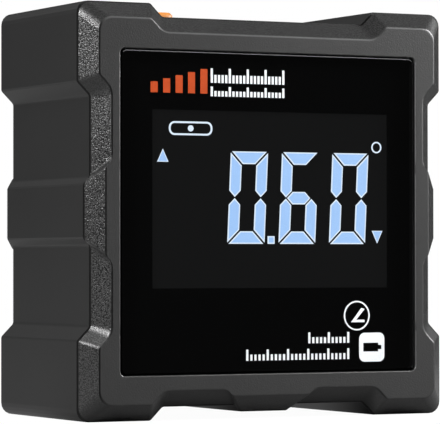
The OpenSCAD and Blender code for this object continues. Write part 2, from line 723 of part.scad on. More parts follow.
module rear_housing() {
  color([0.2, 0.2, 0.2])
  difference() {
    union() {
      difference() {
        skin([ring_at(outer_outline(), bevel_d), ring_at(outer_outline(), body_d - rear_chamfer),
          ring_at(rear_outline(), body_d)], [0, at_depth(bevel_d), half], [0, at_depth(body_d), half]);
        panel(0, half, 2 * mouth_half, 2 * mouth_half, bevel_d - over, ledge_d);
        panel(0, half, 2 * cavity_half, 2 * cavity_half, bevel_d, rear_in);
      }
      for (sx = [-1, 1], sz = [-1, 1])
        rod_back(sx * case_screw_at, half + sz * case_screw_at, column_dia, column_end,
          rear_in + rear_wall / 2);
      for (s = [-1, 1]) {
        panel(s * (shelf_from + cavity_half + shelf_t / 2) / 2, key_board_up - key_board_t - shelf_t / 2,
          cavity_half + shelf_t / 2 - shelf_from, shelf_t, shelf_d, rear_in + rear_wall / 2);
        panel(s * rib_x, (charge_low + rib_low) / 2, shelf_t, charge_low - rib_low, rib_d,
          rear_in + rear_wall / 2);
      }
      difference() {
        slab_up(0, key_d, key_board_w, key_board_h, seal_top, top_wall_in + shelf_t);
        slab_up(0, key_d, key_board_w - 2 * shelf_t, key_board_h - 2 * shelf_t,
          seal_top - shelf_t, top_wall_in);
      }
    }
    for (k = [0 : 3])
      magnet_pair(k, magnet_gap, bevel_d - over, magnet_d + magnet_l + magnet_gap);
    for (sx = [-1, 1], sz = [-1, 1]) {
      rod_back(sx * case_screw_at, half + sz * case_screw_at, screw_hole_dia, bevel_d, body_d);
      rod_back(sx * case_screw_at, half + sz * case_screw_at, head_hole_dia, head_hole_d,
        body_d + over);
    }
    for (i = [-1 : 1])
      translate([0, at_depth(key_d), half]) linear_extrude(height = body_w)
        polygon(rect_ring(i * key_pitch, 0, key_w + 2 * key_gap, key_h + 2 * key_gap,
          key_r + key_gap));
    panel(0, cover_low + cover_h / 2 - (anchor_h + fold_gap) / 2, cover_w + 2 * cover_gap,
      cover_h + anchor_h + fold_gap + 2 * cover_gap, pocket_d, body_d + over);
    panel(0, cover_low + cover_h + cover_gap + notch_h / 2, notch_w, notch_h + cover_gap,
      pocket_d, body_d + over);
    shape_at(rect_ring(0, port_up, port_w, port_h, port_r), rear_in - over, body_d);
    for (s = [-1, 1])
      rod_back(s * stem_x, anchor_up, hold_dia + 2 * hold_gap, rear_in - over, body_d);
  }
}

module case_gasket() {
  color([0.1, 0.1, 0.1])
  difference() {
    panel(0, half, 2 * tongue_half, 2 * tongue_half, tongue_end, tongue_end + gasket_t);
    panel(0, half, 2 * (tongue_half - gasket_w), 2 * (tongue_half - gasket_w),
      tongue_end - over, ledge_d + over);
  }
}
module case_screws() {
  color([0.6, 0.6, 0.62])
  for (sx = [-1, 1], sz = [-1, 1])
    screw_at(sx * case_screw_at, half + sz * case_screw_at, head_hole_d, case_screw_l);
}
module board_screws() {
  color([0.6, 0.6, 0.62])
  for (sx = [-1, 1], sz = [-1, 1])
    screw_at(sx * board_screw_x, half + sz * board_screw_up, board_back, board_screw_l);
}

function lens_ring(less) = rect_ring(0, window_up, window_w - 2 * lens_gap - less,
  window_h - 2 * lens_gap - less, window_r - lens_gap);

module window_lens() {
  color([0.75, 0.8, 0.85, 0.35])
  shape_at(lens_ring(0), lens_below, lens_back);
}
module window_mask() {
  color([0.03, 0.03, 0.03])
  difference() {
    shape_at(lens_ring(0), mask_d, tape_d);
    panel(view_x, view_up, view_w, view_h, mask_d - over, tape_d + over);
  }
}
module window_tape() {
  color([0.85, 0.85, 0.8])
  difference() {
    shape_at(lens_ring(tape_t), tape_d, seat_d);
    panel(view_x, (glass_low + glass_top) / 2, glass_w + 4 * stack_gap,
      glass_top - glass_low + 4 * stack_gap, tape_d - over, seat_d + over);
  }
}

module tick_row(x0, up, w, h, count, long_each, width, low_share) {
  for (i = [0 : count - 1]) {
    tall = i % long_each == 0 ? 1 : low_share;
    panel(x0 + width / 2 + (w - width) * i / (count - 1), up + h * tall / 2, width, h * tall,
      lens_back, mask_d);
  }
}
module orange_marks() {
  color([0.85, 0.41, 0.22])
  for (i = [0 : orange_count - 1])
    panel(orange_x + orange_bar / 2 + (orange_w - orange_bar) * i / (orange_count - 1),
      orange_up + orange_h * (orange_low_share + (1 - orange_low_share) * i / (orange_count - 1)) / 2,
      orange_bar, orange_h * (orange_low_share + (1 - orange_low_share) * i / (orange_count - 1)),
      lens_back, mask_d);
}
module white_marks() {
  color([0.92, 0.92, 0.92]) {
    tick_row(white_x, white_a_up, white_w, white_a_h, upper_count, long_every, tick_w, tick_low_share);
    tick_row(white_x, white_b_up, white_w, white_b_h, lower_count, long_every, tick_w, tick_low_share);
    tick_row(short_x, short_up, short_w, lower_h, short_count, long_every, tick_w, tick_low_share);
    tick_row(lower_x, lower_up, lower_w, lower_h, long_count, long_every, tick_w, tick_low_share);
    difference() {
      rod_back(mark_a_x, mark_a_up, 2 * mark_a_r, lens_back, mask_d);
      rod_back(mark_a_x, mark_a_up, 2 * (mark_a_r - mark_t * mark_ring_share),
        lens_back - over, mask_d + over);
    }
    shape_at(angle_shape(), lens_back, mask_d);
    difference() {
      shape_at(rect_ring(mark_b_x, mark_b_up, mark_b_w, mark_b_w, mark_b_r), lens_back, mask_d);
      panel(mark_b_x - mark_t / 2, mark_b_up, mark_b_w * cell_mark_share, mark_b_w * cell_mark_share / 2,
        lens_back - over, mask_d + over);
      panel(mark_b_x + mark_b_w * cell_mark_share / 2, mark_b_up, mark_t * 2,
        mark_b_w * cell_mark_share / 4, lens_back - over, mask_d + over);
    }
  }
}
function angle_shape() =
  let (r = mark_a_r - 2.5 * mark_t,
       x0 = mark_a_x - r * angle_shift_share,
       z0 = mark_a_up - r * angle_shift_share,
       l = r * (1 + angle_shift_share))
  [[x0, z0], [x0 + l, z0], [x0 + l, z0 + mark_t], [x0 + mark_t * (1 + sqrt(2)), z0 + mark_t],
    [x0 + l * angle_rise_share + mark_t, z0 + l * angle_rise_share],
    [x0 + l * angle_rise_share - mark_t / 2, z0 + l * angle_rise_share + mark_t / 2]];

function lean(p) = [p[0] + (p[1] - digit_h / 2) * lean_share, p[1] + digit_up];
function placed(x, pts) = [for (p = pts) let (q = lean(p)) [x + q[0], q[1]]];
function bar_shapes() =
  let (w = digit_w,
       h = digit_h,
       s = bar_w,
       e = bar_gap,
       m = h / 2,
       q = m - s / 2 - e / 2)
  [[[e, h], [w - e, h], [w - s - e, h - s], [s + e, h - s]],
    [[w, h - e], [w - s, h - s - e], [w - s, h - q], [w - s / 2, m + e / 2], [w, h - q]],
    [[w, e], [w - s, s + e], [w - s, q], [w - s / 2, m - e / 2], [w, q]],
    [[e, 0], [w - e, 0], [w - s - e, s], [s + e, s]],
    [[0, e], [s, s + e], [s, q], [s / 2, m - e / 2], [0, q]],
    [[0, h - e], [s, h - s - e], [s, h - q], [s / 2, m + e / 2], [0, h - q]],
    [[s / 2 + e, m], [s + e, m + s / 2], [w - s - e, m + s / 2], [w - s / 2 - e, m],
      [w - s - e, m - s / 2], [s + e, m - s / 2]]];
module digit(i, bars) {
  for (k = bars)
    shape_at(placed(digit_x + i * digit_pitch, bar_shapes()[k]), seat_d, glass_d);
}
module arrow(x, up, s) {
  shape_at([[x, up + s * arrow_h / 2], [x - arrow_w / 2, up - s * arrow_h / 2],
    [x + arrow_w / 2, up - s * arrow_h / 2]], seat_d, glass_d);
}
module lcd_segments() {
  color([0.64, 0.8, 1]) {
    digit(0, [0 : 5]);
    digit(1, [0, 2, 3, 4, 5, 6]);
    digit(2, [0 : 5]);
    panel(dot_x, digit_up + dot_w / 2, dot_w, dot_w, seat_d, glass_d);
    difference() {
      rod_back(degree_x, degree_up, 2 * degree_r, seat_d, glass_d);
      rod_back(degree_x, degree_up, 2 * (degree_r - degree_t), seat_d - over, glass_d + over);
    }
    arrow(arrow_a_x, arrow_a_up, 1);
    arrow(arrow_b_x, arrow_b_up, -1);
    difference() {
      shape_at(rect_ring(vial_x, vial_up, vial_w, vial_h, vial_h * vial_round_share), seat_d, glass_d);
      shape_at(rect_ring(vial_x, vial_up, vial_w - 2 * vial_t, vial_h - 2 * vial_t,
        (vial_h - 2 * vial_t) * vial_round_share), seat_d - over, glass_d + over);
    }
    rod_back(vial_x, vial_up, vial_h * vial_round_share, seat_d, glass_d);
  }
}
module lcd_front_glass() {
  color([0.12, 0.12, 0.13])
  panel(view_x, (glass_low + glass_top) / 2, glass_w, glass_top - glass_low, glass_d, rear_glass_d);
}
module lcd_rear_glass() {
  color([0.1, 0.1, 0.11])
  panel(view_x, (rear_glass_low + glass_top) / 2, glass_w, glass_top - rear_glass_low, rear_glass_d,
    backlight_d);
}
module lcd_backlight() {
  color([0.9, 0.93, 0.95])
  panel(view_x, (rear_glass_low + glass_top) / 2, glass_w, glass_top - rear_glass_low, backlight_d,
    backlight_end);
}
module lcd_frame() {
  color([0.85, 0.85, 0.83])
  difference() {
    panel(view_x, (glass_low + glass_top) / 2, glass_w + 2 * (stack_gap + frame_t),
      glass_top - glass_low + 2 * (stack_gap + frame_t), plate_back, board_d);
    panel(view_x, (glass_low + glass_top) / 2, glass_w + 2 * stack_gap,
      glass_top - glass_low + 2 * stack_gap, glass_d, backlight_end);
    panel(view_x, (rear_glass_low + glass_top) / 2, glass_w - 2 * frame_lip,
      glass_top - rear_glass_low - 2 * frame_lip, glass_d, board_back);
    panel(view_x, glass_low + strip_h / 2, strip_w + 2 * stack_gap, strip_h + 2 * stack_gap,
      glass_d, board_back);
  }
}
module contact_strip() {
  color([0.9, 0.45, 0.5])
  panel(view_x, glass_low + strip_h / 2, strip_w, strip_h, rear_glass_d, board_d);
}

module main_board() {
  color([0.05, 0.3, 0.15])
  difference() {
    panel(0, half, 2 * board_half, 2 * board_half, board_d, board_back);
    for (sx = [-1, 1], sz = [-1, 1]) {
      panel(sx * board_half, half + sz * board_half, 2 * board_notch, 2 * board_notch, bevel_d,
        body_d);
      rod_back(sx * board_screw_x, half + sz * board_screw_up, screw_hole_dia, bevel_d, body_d);
    }
  }
}
module controller_chip() {
  color([0.08, 0.08, 0.08])
  panel(chip_x, half, chip_w, chip_w, board_back, board_back + chip_t);
}
module tilt_sensor() {
  color([0.15, 0.15, 0.16])
  panel(sensor_x, half, sensor_w, sensor_w, board_back, board_back + sensor_t);
}
module quartz_can() {
  color([0.75, 0.75, 0.76])
  shape_at(rect_ring(chip_x, half + crystal_up, crystal_l, crystal_dia, crystal_dia / 3), board_back,
    board_back + crystal_dia);
}
module small_parts() {
  color([0.65, 0.5, 0.35])
  for (i = [0 : small_count - 1], s = [-1, 1])
    panel(chip_x + (i - (small_count - 1) / 2) * small_part_pitch,
      half - crystal_up - s * small_part_pitch / 2, small_part_w, small_part_l, board_back,
      board_back + small_part_w);
}
module charge_link() {
  color([0.1, 0.1, 0.1]) {
    panel(-link_x, charge_board_up + header_w / 2, (link_pins + 1) * header_pitch, header_w,
      board_back, charge_board_d + header_w);
    for (i = [0 : link_pins - 1])
      panel(-link_x + (i - (link_pins - 1) / 2) * header_pitch,
        charge_board_up + header_pin / 2, header_pin, header_pin, charge_board_d + header_w,
        charge_board_d + header_w + header_pitch);
  }
}
module key_link() {
  link_up = key_board_up - key_board_t;
  link_end = key_d - key_board_h / 2 + header_w;
  color([0.1, 0.1, 0.1]) {
    panel(0, link_up - header_w / 2, (link_pins + 1) * header_pitch, header_w, board_back, link_end);
    for (i = [0 : link_pins - 1])
      panel((i - (link_pins - 1) / 2) * header_pitch, link_up - header_pin / 2, header_pin,
        header_pin, link_end, link_end + header_pitch);
  }
}

module key_board() {
  color([0.05, 0.3, 0.15])
  slab_up(0, key_d, key_board_w, key_board_h, key_board_up - key_board_t, key_board_up);
}
module key_switches() {
  color([0.12, 0.12, 0.12])
  for (i = [-1 : 1])
    difference() {
      slab_up(i * key_pitch, key_d, switch_w, switch_w, key_board_up, key_board_up + switch_h);
      rod_up(i * key_pitch, key_d, plunger_dia + 2 * key_gap, plunger_low - key_travel - plunger_gap,
        key_board_up + switch_h + over);
    }
}
module plunger(i) {
  rod_up(i * key_pitch, key_d, plunger_dia, plunger_low, plunger_top);
}
module power_plunger() {
  color([0.85, 0.85, 0.8]) plunger(-1);
}
module zero_plunger() {
  color([0.85, 0.85, 0.8]) plunger(0);
}
module hold_plunger() {
  color([0.85, 0.85, 0.8]) plunger(1);
}
module key_seal() {
  color([0.25, 0.25, 0.26])
  difference() {
    slab_up(0, key_d, key_board_w, key_board_h, key_board_up, seal_top);
    slab_up(0, key_d, key_board_w - 2 * shelf_t, key_board_h - 2 * shelf_t,
      key_board_up - over, seal_top - seal_t);
    for (i = [-1 : 1])
      rod_up(i * key_pitch, key_d, seal_hole_dia, key_board_up, seal_top + over);
  }
}
function key_ring(i, grow, r) =
  rect_ring(i * key_pitch, at_depth(key_d), key_w + 2 * grow, key_h + 2 * grow, r);
function ring_level(ring, z) = [for (k = [0 : len(ring) - 1]) let (p = ring[len(ring) - 1 - k])
  [p[0], p[1], z]];
module key_block(i, grow, z0, z1) {
  translate([0, 0, z0]) linear_extrude(height = z1 - z0) polygon(key_ring(i, grow, key_r));
}
module key_cap(i, rise) {
  top = top_recess + rise;
  x = i * key_pitch;
  y = at_depth(key_d);
  skin([ring_level(key_ring(i, 0, key_r), top - key_edge * 2),
    ring_level(key_ring(i, 0, key_r), top - key_edge),
    ring_level(key_ring(i, -key_edge, key_r - key_edge), top)],
    [x, y, top - key_edge * 2], [x, y, top]);
  key_block(i, 0, flange_top - flange_t / 2, top - key_edge * 1.5);
  key_block(i, key_flange, flange_low, flange_top);
  rod_up(i * key_pitch, key_d, stem_dia, plunger_top, flange_top - flange_t / 2);
}
module power_button() {
  color([0.95, 0.55, 0.1]) key_cap(-1, power_rise);
}
module zero_button() {
  color([0.15, 0.15, 0.15]) key_cap(0, low_rise);
}
module hold_button() {
  color([0.15, 0.15, 0.15]) key_cap(1, low_rise);
}

module battery_cell() {
  color([0.75, 0.77, 0.8])
  shape_at(rect_ring(0, cell_up + cell_h / 2, cell_w, cell_h, cell_r), cell_d, cell_d + cell_t);
}
module battery_tape() {
  color([0.85, 0.85, 0.7])
  panel(0, cell_up + cell_h / 2, cell_w * tape_share, cell_h * tape_share, cell_d + cell_t, rear_in);
}
module wire(x) {
  bend_d = cell_d + cell_t / 2 - wire_bend;
  rod_up(x, cell_d + cell_t / 2, wire_dia, wire_up + wire_bend, cell_up);
  rod_back(x, wire_up, wire_dia, charge_board_d + header_w + plug_d, bend_d);
  multmatrix([[0, 0, -1, x], [1, 0, 0, at_depth(bend_d)], [0, -1, 0, wire_up + wire_bend],
    [0, 0, 0, 1]])
    rotate_extrude(angle = 90) translate([wire_bend, 0]) circle(d = wire_dia);
}
module battery_wires() {
  color([0.7, 0.1, 0.1])
  for (s = [-1, 1])
    wire(plug_x + s * wire_pitch / 2);
}
module battery_plug() {
  color([0.9, 0.9, 0.88])
  panel(plug_x, charge_board_up + plug_h / 2, plug_w, plug_h, charge_board_d + header_w,
    charge_board_d + header_w + plug_d);
}
module charge_board() {
  color([0.05, 0.3, 0.15])
  panel(0, charge_board_up - charge_board_t / 2, charge_board_w, charge_board_t, charge_board_d,
    charge_board_d + charge_board_l);
}
module charge_chip() {
  color([0.08, 0.08, 0.08])
  panel(-plug_x, charge_board_up + chip_t / 2, charge_chip_w, chip_t,
    charge_board_d + charge_chip_in, charge_board_d + charge_chip_in + charge_chip_w);
}
module charge_socket() {
  color([0.7, 0.7, 0.72])
  difference() {
    shape_at(rect_ring(0, port_up, socket_w, socket_h, socket_h * shell_round_share), socket_d,
      socket_end);
    shape_at(rect_ring(0, port_up, socket_w - 2 * socket_t, socket_h - 2 * socket_t,
      (socket_h - 2 * socket_t) * shell_round_share), socket_d + socket_back, socket_end + over);
  }
}
module socket_tongue() {
  color([0.1, 0.1, 0.1])
  panel(0, port_up, socket_tongue_w, socket_tongue_t, socket_d + socket_back,
    socket_end - socket_tongue_t);
}

module side_magnets(k) {
  color([0.72, 0.73, 0.75]) magnet_pair(k, 0, magnet_d, magnet_d + magnet_l);
}
module bottom_magnets() {
  side_magnets(0);
}
module right_magnets() {
  side_magnets(1);
}
module top_magnets() {
  side_magnets(2);
}
module left_magnets() {
  side_magnets(3);
}

module usb_cover() {
  color([0.12, 0.12, 0.12]) {
    panel(0, cover_low + cover_h / 2, cover_w, cover_h, pocket_d, body_d);
    shape_at(rect_ring(0, port_up, lip_w, lip_h, port_r), pocket_d - lip_l, pocket_d + cover_t / 2);
  }
}
module usb_cover_anchor() {
  color([0.12, 0.12, 0.12]) {
    panel(0, anchor_up, cover_w, anchor_h, pocket_d, body_d);
    for (s = [-1, 1]) {
      rod_back(s * stem_x, anchor_up, hold_dia, rear_in - hold_head_l / 2, pocket_d + cover_t / 2);
      rod_back(s * stem_x, anchor_up, hold_head_dia, rear_in - hold_head_l, rear_in);
    }
  }
}

front_bezel();
rear_housing();
case_gasket();
case_screws();
window_lens();
white_marks();
orange_marks();
window_mask();
window_tape();
lcd_segments();
lcd_front_glass();
lcd_rear_glass();
lcd_backlight();
lcd_frame();
contact_strip();
main_board();
board_screws();
controller_chip();
tilt_sensor();
quartz_can();
small_parts();
charge_link();
key_link();
key_board();
key_switches();
power_plunger();
zero_plunger();
hold_plunger();
key_seal();
power_button();
zero_button();
hold_button();
battery_cell();
battery_tape();
battery_wires();
battery_plug();
charge_board();
charge_chip();
charge_socket();
socket_tongue();
left_magnets();
right_magnets();
top_magnets();
bottom_magnets();
usb_cover();
usb_cover_anchor();
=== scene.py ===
import math

import bpy
import numpy as np
from mathutils import Matrix


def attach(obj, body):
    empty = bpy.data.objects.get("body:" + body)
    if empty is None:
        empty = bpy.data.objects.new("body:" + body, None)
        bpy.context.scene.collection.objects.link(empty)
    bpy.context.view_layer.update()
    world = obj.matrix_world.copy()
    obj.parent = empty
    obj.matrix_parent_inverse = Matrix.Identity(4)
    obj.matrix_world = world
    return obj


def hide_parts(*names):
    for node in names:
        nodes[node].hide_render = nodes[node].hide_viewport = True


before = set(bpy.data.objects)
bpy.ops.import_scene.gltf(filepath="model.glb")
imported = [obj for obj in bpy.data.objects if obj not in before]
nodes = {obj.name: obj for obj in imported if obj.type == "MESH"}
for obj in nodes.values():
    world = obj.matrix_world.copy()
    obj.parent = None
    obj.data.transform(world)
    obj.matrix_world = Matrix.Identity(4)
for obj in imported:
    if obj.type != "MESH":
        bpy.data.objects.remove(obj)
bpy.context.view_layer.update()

scene = bpy.context.scene
mm = 0.001

# Sizes of the shell in millimetres. They are the same as the CAD part's, but the bezel's crests
# and feet are a little rounder, as they catch the light.
shell = {
    "half": 30.0, "depth": 31.0, "bumperRise": 1.95, "padRise": 0.97, "bumperFrom": 18.4,
    "padHalf": 3.85, "bevelIn": 2.4, "bevelDepth": 2.6, "cornerR": 1.8, "frontCornerR": 2.0,
    "footR": 1.1, "frontFootR": 2.5, "padFootR": 1.8, "crestR": 0.75, "frontCrestR": 0.75,
    "edge": 0.2, "rimEdge": 0.16, "groove": 0.24, "grooveIn": 0.3,
}
window = {"width": 48.65, "height": 46.7, "up": 29.88, "radius": 0.75, "seat": 1.75}
lens = {"gap": 0.2, "below": 0.2, "thick": 1.2, "chamfer": 0.14, "radius": 0.95}


def depthToY(depth):
    # Depth is counted from the front face. The body's middle is at Y = 0.
    return depth - shell["depth"] / 2


def arcPoints(a, p, b, radius, steps):
    # A fillet: the circle of that radius that touches both lines through p, sampled evenly.
    a, p, b = (np.array(v, float) for v in (a, p, b))
    u = (a - p) / np.linalg.norm(a - p)
    w = (b - p) / np.linalg.norm(b - p)
    partAngle = math.acos(float(u @ w)) / 2
    centre = p + (u + w) / np.linalg.norm(u + w) * radius / math.sin(partAngle)
    s = p + u * radius / math.tan(partAngle) - centre
    e = p + w * radius / math.tan(partAngle) - centre
    start = math.atan2(s[1], s[0])
    sweep = (math.atan2(e[1], e[0]) - start + math.pi) % (2 * math.pi) - math.pi
    t = start + sweep * np.linspace(0, 1, steps + 1)
    return centre + radius * np.stack([np.cos(t), np.sin(t)], 1)


def roundedRing(corners):
    # Each corner is (x, z, radius, steps). Returns the closed ring as an array of (x, z).
    n = len(corners)
    return np.concatenate([arcPoints(corners[i - 1][:2], corners[i][:2], corners[(i + 1) % n][:2],
                                     corners[i][2], corners[i][3]) for i in range(n)])


def rectRing(cx, cz, w, h, radius, steps=6):
    return roundedRing([(cx + sx * w / 2, cz + sz * h / 2, radius, steps)
                        for sx, sz in ((-1, -1), (1, -1), (1, 1), (-1, 1))])


def outlineRing(inset, crest, foot, padFoot, corner):
    # The stepped outline, inset with mitred bumper slopes and pad slopes that run straight on.
    s = shell
    nb, nr = s["half"] - inset, s["half"] - s["bumperRise"] - inset
    np_ = nr + s["padRise"]
    bf = s["bumperFrom"] + inset * (math.sqrt(2) - 1)
    rf = bf - s["bumperRise"]
    pf = s["padHalf"] + inset
    pr = pf + s["padRise"]
    corners = []
    for k in range(4):
        side = [(-bf, nb, crest, 4), (-rf, nr, foot, 6)]
        if k != 2:
            side += [(-pr, nr, padFoot, 6), (-pf, np_, crest, 4), (pf, np_, crest, 4), (pr, nr, padFoot, 6)]
        side += [(rf, nr, foot, 6), (bf, nb, crest, 4), (nb, nb, corner, 8)]
        for t, n, r, steps in side:
            x, z = ((t, -n), (n, t), (-t, n), (-n, -t))[k]
            corners.append((x, z + s["half"], r, steps))
    return roundedRing(corners)


def splitAt(ring, cuts):
    # Adds a point at each (edge index, share of the edge), so that rings keep matching points.
    out = []
    for i, p in enumerate(ring):
        out.append(p)
        q = ring[(i + 1) % len(ring)]
        out += [p + (q - p) * t for t in sorted(t for k, t in cuts if k == i)]
    return np.array(out)


def rayHits(ring, centre, angles):
    # Which edge of the ring each ray from the centre meets, and at what share of the edge: the
    # cross product of ray and point changes sign there, in front of the centre.
    rel = ring - centre
    nxt = np.roll(rel, -1, 0)
    d = np.stack([np.cos(angles), np.sin(angles)], 1)
    c0 = d[:, :1] * rel[None, :, 1] - d[:, 1:] * rel[None, :, 0]
    c1 = d[:, :1] * nxt[None, :, 1] - d[:, 1:] * nxt[None, :, 0]
    t = np.clip(-c0 / np.where(c1 - c0 > 1e-12, c1 - c0, 1), 0, 1)
    ahead = (d @ rel.T) * (1 - t) + (d @ nxt.T) * t > 0
    k = ((c0 <= 1e-12) & (c1 > -1e-12) & (c1 - c0 > 1e-12) & ahead).argmax(1)
    return k, t[np.arange(len(d)), k]


def raySample(ring, centre, angles):
    # The point of the ring on each ray from the centre.
    k, t = rayHits(ring, centre, angles)
    return ring[k] + (np.roll(ring, -1, 0)[k] - ring[k]) * t[:, None]


def ringAt(ring, depth):
    # (x, z) in millimetres at a depth becomes (x, y, z) in metres.
    return np.stack([ring[:, 0], np.full(len(ring), depthToY(depth)), ring[:, 1]], 1) * mm


def cornerNormals(verts, faces, limit=math.cos(math.radians(38))):
    # Each face corner's normal is the sum of the normals times areas of the faces round its point
    # that turn less than the limit from its own face. So large flat faces stay flat, narrow
    # rounded strips turn, and sharp edges stay sharp.
    p = verts[faces]
    area = np.cross(p[:, 2] - p[:, 0], p[:, 3] - p[:, 1]) if faces.shape[1] == 4 else \
        np.cross(p[:, 1] - p[:, 0], p[:, 2] - p[:, 0])
    unit = area / np.maximum(np.linalg.norm(area, axis=1), 1e-20)[:, None]
    flat = faces.ravel()
    order = np.argsort(flat, kind="stable")
    count = np.bincount(flat, minlength=len(verts))
    start = np.cumsum(count) - count
    slot = np.arange(len(flat)) - start[flat[order]]
    around = np.full((len(verts), count.max()), -1)
    around[flat[order], slot] = order // faces.shape[1]
    near = around[flat]
    own = np.repeat(unit, faces.shape[1], axis=0)
    keep = (near >= 0) & (np.einsum("ijk,ik->ij", unit[near], own) > limit)
    out = (area[near] * keep[:, :, None]).sum(1)
    return out / np.maximum(np.linalg.norm(out, axis=1), 1e-20)[:, None]


def makeMesh(name, verts, faces, body, replaced=(), materials=(), faceSlots=None,
             values=None, smooth=True):
    # Builds the mesh in place from arrays, sets its shading and names the body that carries it.
    mesh = bpy.data.meshes.new(name)
    mesh.from_pydata([], [], [])
    mesh.vertices.add(len(verts))
    mesh.vertices.foreach_set("co", verts.astype(np.float32).ravel())
    width = faces.shape[1]
    mesh.loops.add(faces.size)
    mesh.loops.foreach_set("vertex_index", faces.astype(np.int32).ravel())
    mesh.polygons.add(len(faces))
    mesh.polygons.foreach_set("loop_start", np.arange(0, faces.size, width, dtype=np.int32))
    for m in materials:
        mesh.materials.append(m)
    if faceSlots is not None:
        mesh.polygons.foreach_set("material_index", faceSlots.astype(np.int32))
    mesh.update(calc_edges=True)
    mesh.validate()
    mesh.polygons.foreach_set("use_smooth", np.full(len(mesh.polygons), smooth))
    if smooth:
        mesh.normals_split_custom_set(cornerNormals(verts, faces).tolist())
    for key, data in (values or {}).items():
        layer = mesh.attributes.new(key, "FLOAT", "POINT")
        layer.data.foreach_set("value", data.astype(np.float32))
    obj = bpy.data.objects.new(name, mesh)
    scene.collection.objects.link(obj)
    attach(obj, body)
    if replaced:
        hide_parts(*replaced)
    return obj


def bandFaces(ringCount, n, closed=False):
    # Quads between neighbouring rings, the last one back to the first if it is closed.
    k = np.arange(ringCount if closed else ringCount - 1)[:, None]
    i = np.arange(n)[None, :]
    j = (i + 1) % n
    k2 = (k + 1) % ringCount
    return np.stack(np.broadcast_arrays(k * n + i, k * n + j, k2 * n + j, k2 * n + i), -1).reshape(-1, 4)


# Materials

def newMaterial(name):
    m = bpy.data.materials.new(name)
    m.use_nodes = True
    m.node_tree.nodes.clear()
    out = m.node_tree.nodes.new("ShaderNodeOutputMaterial")
    return m, m.node_tree, out


def link(tree, a, b):
    tree.links.new(a, b)


def addNode(tree, kind, **values):
    node = tree.nodes.new(kind)
    for key, value in values.items():
        if key.startswith("in_"):
            node.inputs[int(key[3:])].default_value = value
        else:
            setattr(node, key, value)
    return node


def makeSpeckleGroup():
    # Uneven shade: a coarse and a fine noise on object coordinates, each turned into a factor
    # about 1. Outputs the factor and the height of the grain.
    g = bpy.data.node_groups.new("speckle", "ShaderNodeTree")
    g.interface.new_socket("Coarse", in_out="INPUT", socket_type="NodeSocketFloat")
    g.interface.new_socket("Fine", in_out="INPUT", socket_type="NodeSocketFloat")
    g.interface.new_socket("Amount", in_out="INPUT", socket_type="NodeSocketFloat")
    g.interface.new_socket("Factor", in_out="OUTPUT", socket_type="NodeSocketFloat")
    g.interface.new_socket("Height", in_out="OUTPUT", socket_type="NodeSocketFloat")
    gi = g.nodes.new("NodeGroupInput")
    go = g.nodes.new("NodeGroupOutput")
    tc = g.nodes.new("ShaderNodeTexCoord")
    coarse = addNode(g, "ShaderNodeTexNoise")
    fine = addNode(g, "ShaderNodeTexNoise")
    coarse.inputs["Detail"].default_value = 3.0
    fine.inputs["Detail"].default_value = 2.0
    link(g, tc.outputs["Object"], coarse.inputs["Vector"])
    link(g, tc.outputs["Object"], fine.inputs["Vector"])
    link(g, gi.outputs["Coarse"], coarse.inputs["Scale"])
    link(g, gi.outputs["Fine"], fine.inputs["Scale"])
    both = addNode(g, "ShaderNodeMath", operation="ADD")
    link(g, coarse.outputs["Fac"], both.inputs[0])
    link(g, fine.outputs["Fac"], both.inputs[1])
    centred = addNode(g, "ShaderNodeMath", operation="SUBTRACT", in_1=1.0)
    link(g, both.outputs[0], centred.inputs[0])
    scaled = addNode(g, "ShaderNodeMath", operation="MULTIPLY")
    link(g, centred.outputs[0], scaled.inputs[0])
    link(g, gi.outputs["Amount"], scaled.inputs[1])
    factor = addNode(g, "ShaderNodeMath", operation="ADD", in_1=1.0)
    link(g, scaled.outputs[0], factor.inputs[0])
    link(g, factor.outputs[0], go.inputs["Factor"])
    link(g, fine.outputs["Fac"], go.inputs["Height"])
    return g


speckle = makeSpeckleGroup()


def tinted(tree, colour, coarse, fine, amount):
    # The colour times the speckle's factor. Returns the colour socket and the height socket.
    group = tree.nodes.new("ShaderNodeGroup")
    group.node_tree = speckle
    group.inputs["Coarse"].default_value = coarse
    group.inputs["Fine"].default_value = fine
    group.inputs["Amount"].default_value = amount
    mix = addNode(tree, "ShaderNodeVectorMath", operation="SCALE")
    mix.inputs[0].default_value = colour
    link(tree, group.outputs["Factor"], mix.inputs["Scale"])
    return mix.outputs[0], group.outputs["Height"]


def plastic(name, colour, rough, coarse=180.0, fine=2500.0, amount=0.25, bump=0.1, bumpSize=0.00002,
            metallic=0.0, specular=0.5, coat=0.0):
    # A plain procedural surface: speckled colour, and a fine bump from the same noise.
    m, tree, out = newMaterial(name)
    shader = tree.nodes.new("ShaderNodeBsdfPrincipled")
    shader.inputs["Roughness"].default_value = rough
    shader.inputs["Metallic"].default_value = metallic
    shader.inputs["Specular IOR Level"].default_value = specular
    shader.inputs["Coat Weight"].default_value = coat
    col, height = tinted(tree, colour, coarse, fine, amount)
    link(tree, col, shader.inputs["Base Color"])
    if bump:
        b = addNode(tree, "ShaderNodeBump")
        b.inputs["Strength"].default_value = bump
        b.inputs["Distance"].default_value = bumpSize
        link(tree, height, b.inputs["Height"])
        link(tree, b.outputs["Normal"], shader.inputs["Normal"])
    link(tree, shader.outputs[0], out.inputs["Surface"])
    return m


# edgePale and edgeDark set how strong the painted highlight and the painted shade on rounded edges are; grainDark and
# grainPale set the painted shade in the grain's valleys and the painted highlight on its cells.
bezelLook = {"colour": (0.0166, 0.0166, 0.0166), "specular": 0.25, "faceRough": 0.5, "grainRough": 0.25,
             "edgeRough": 0.3, "grainScale": 6000.0, "grainBump": 1.0, "grainSize": 0.000012,
             "grainDark": 0.32, "grainPale": 1.68, "faceScale": 4200.0, "faceBump": 1.0,
             "faceSize": 0.00003, "edgePale": 2.4, "edgeDark": 0.8, "sideGrain": 1.0, "topGrain": 0.4}


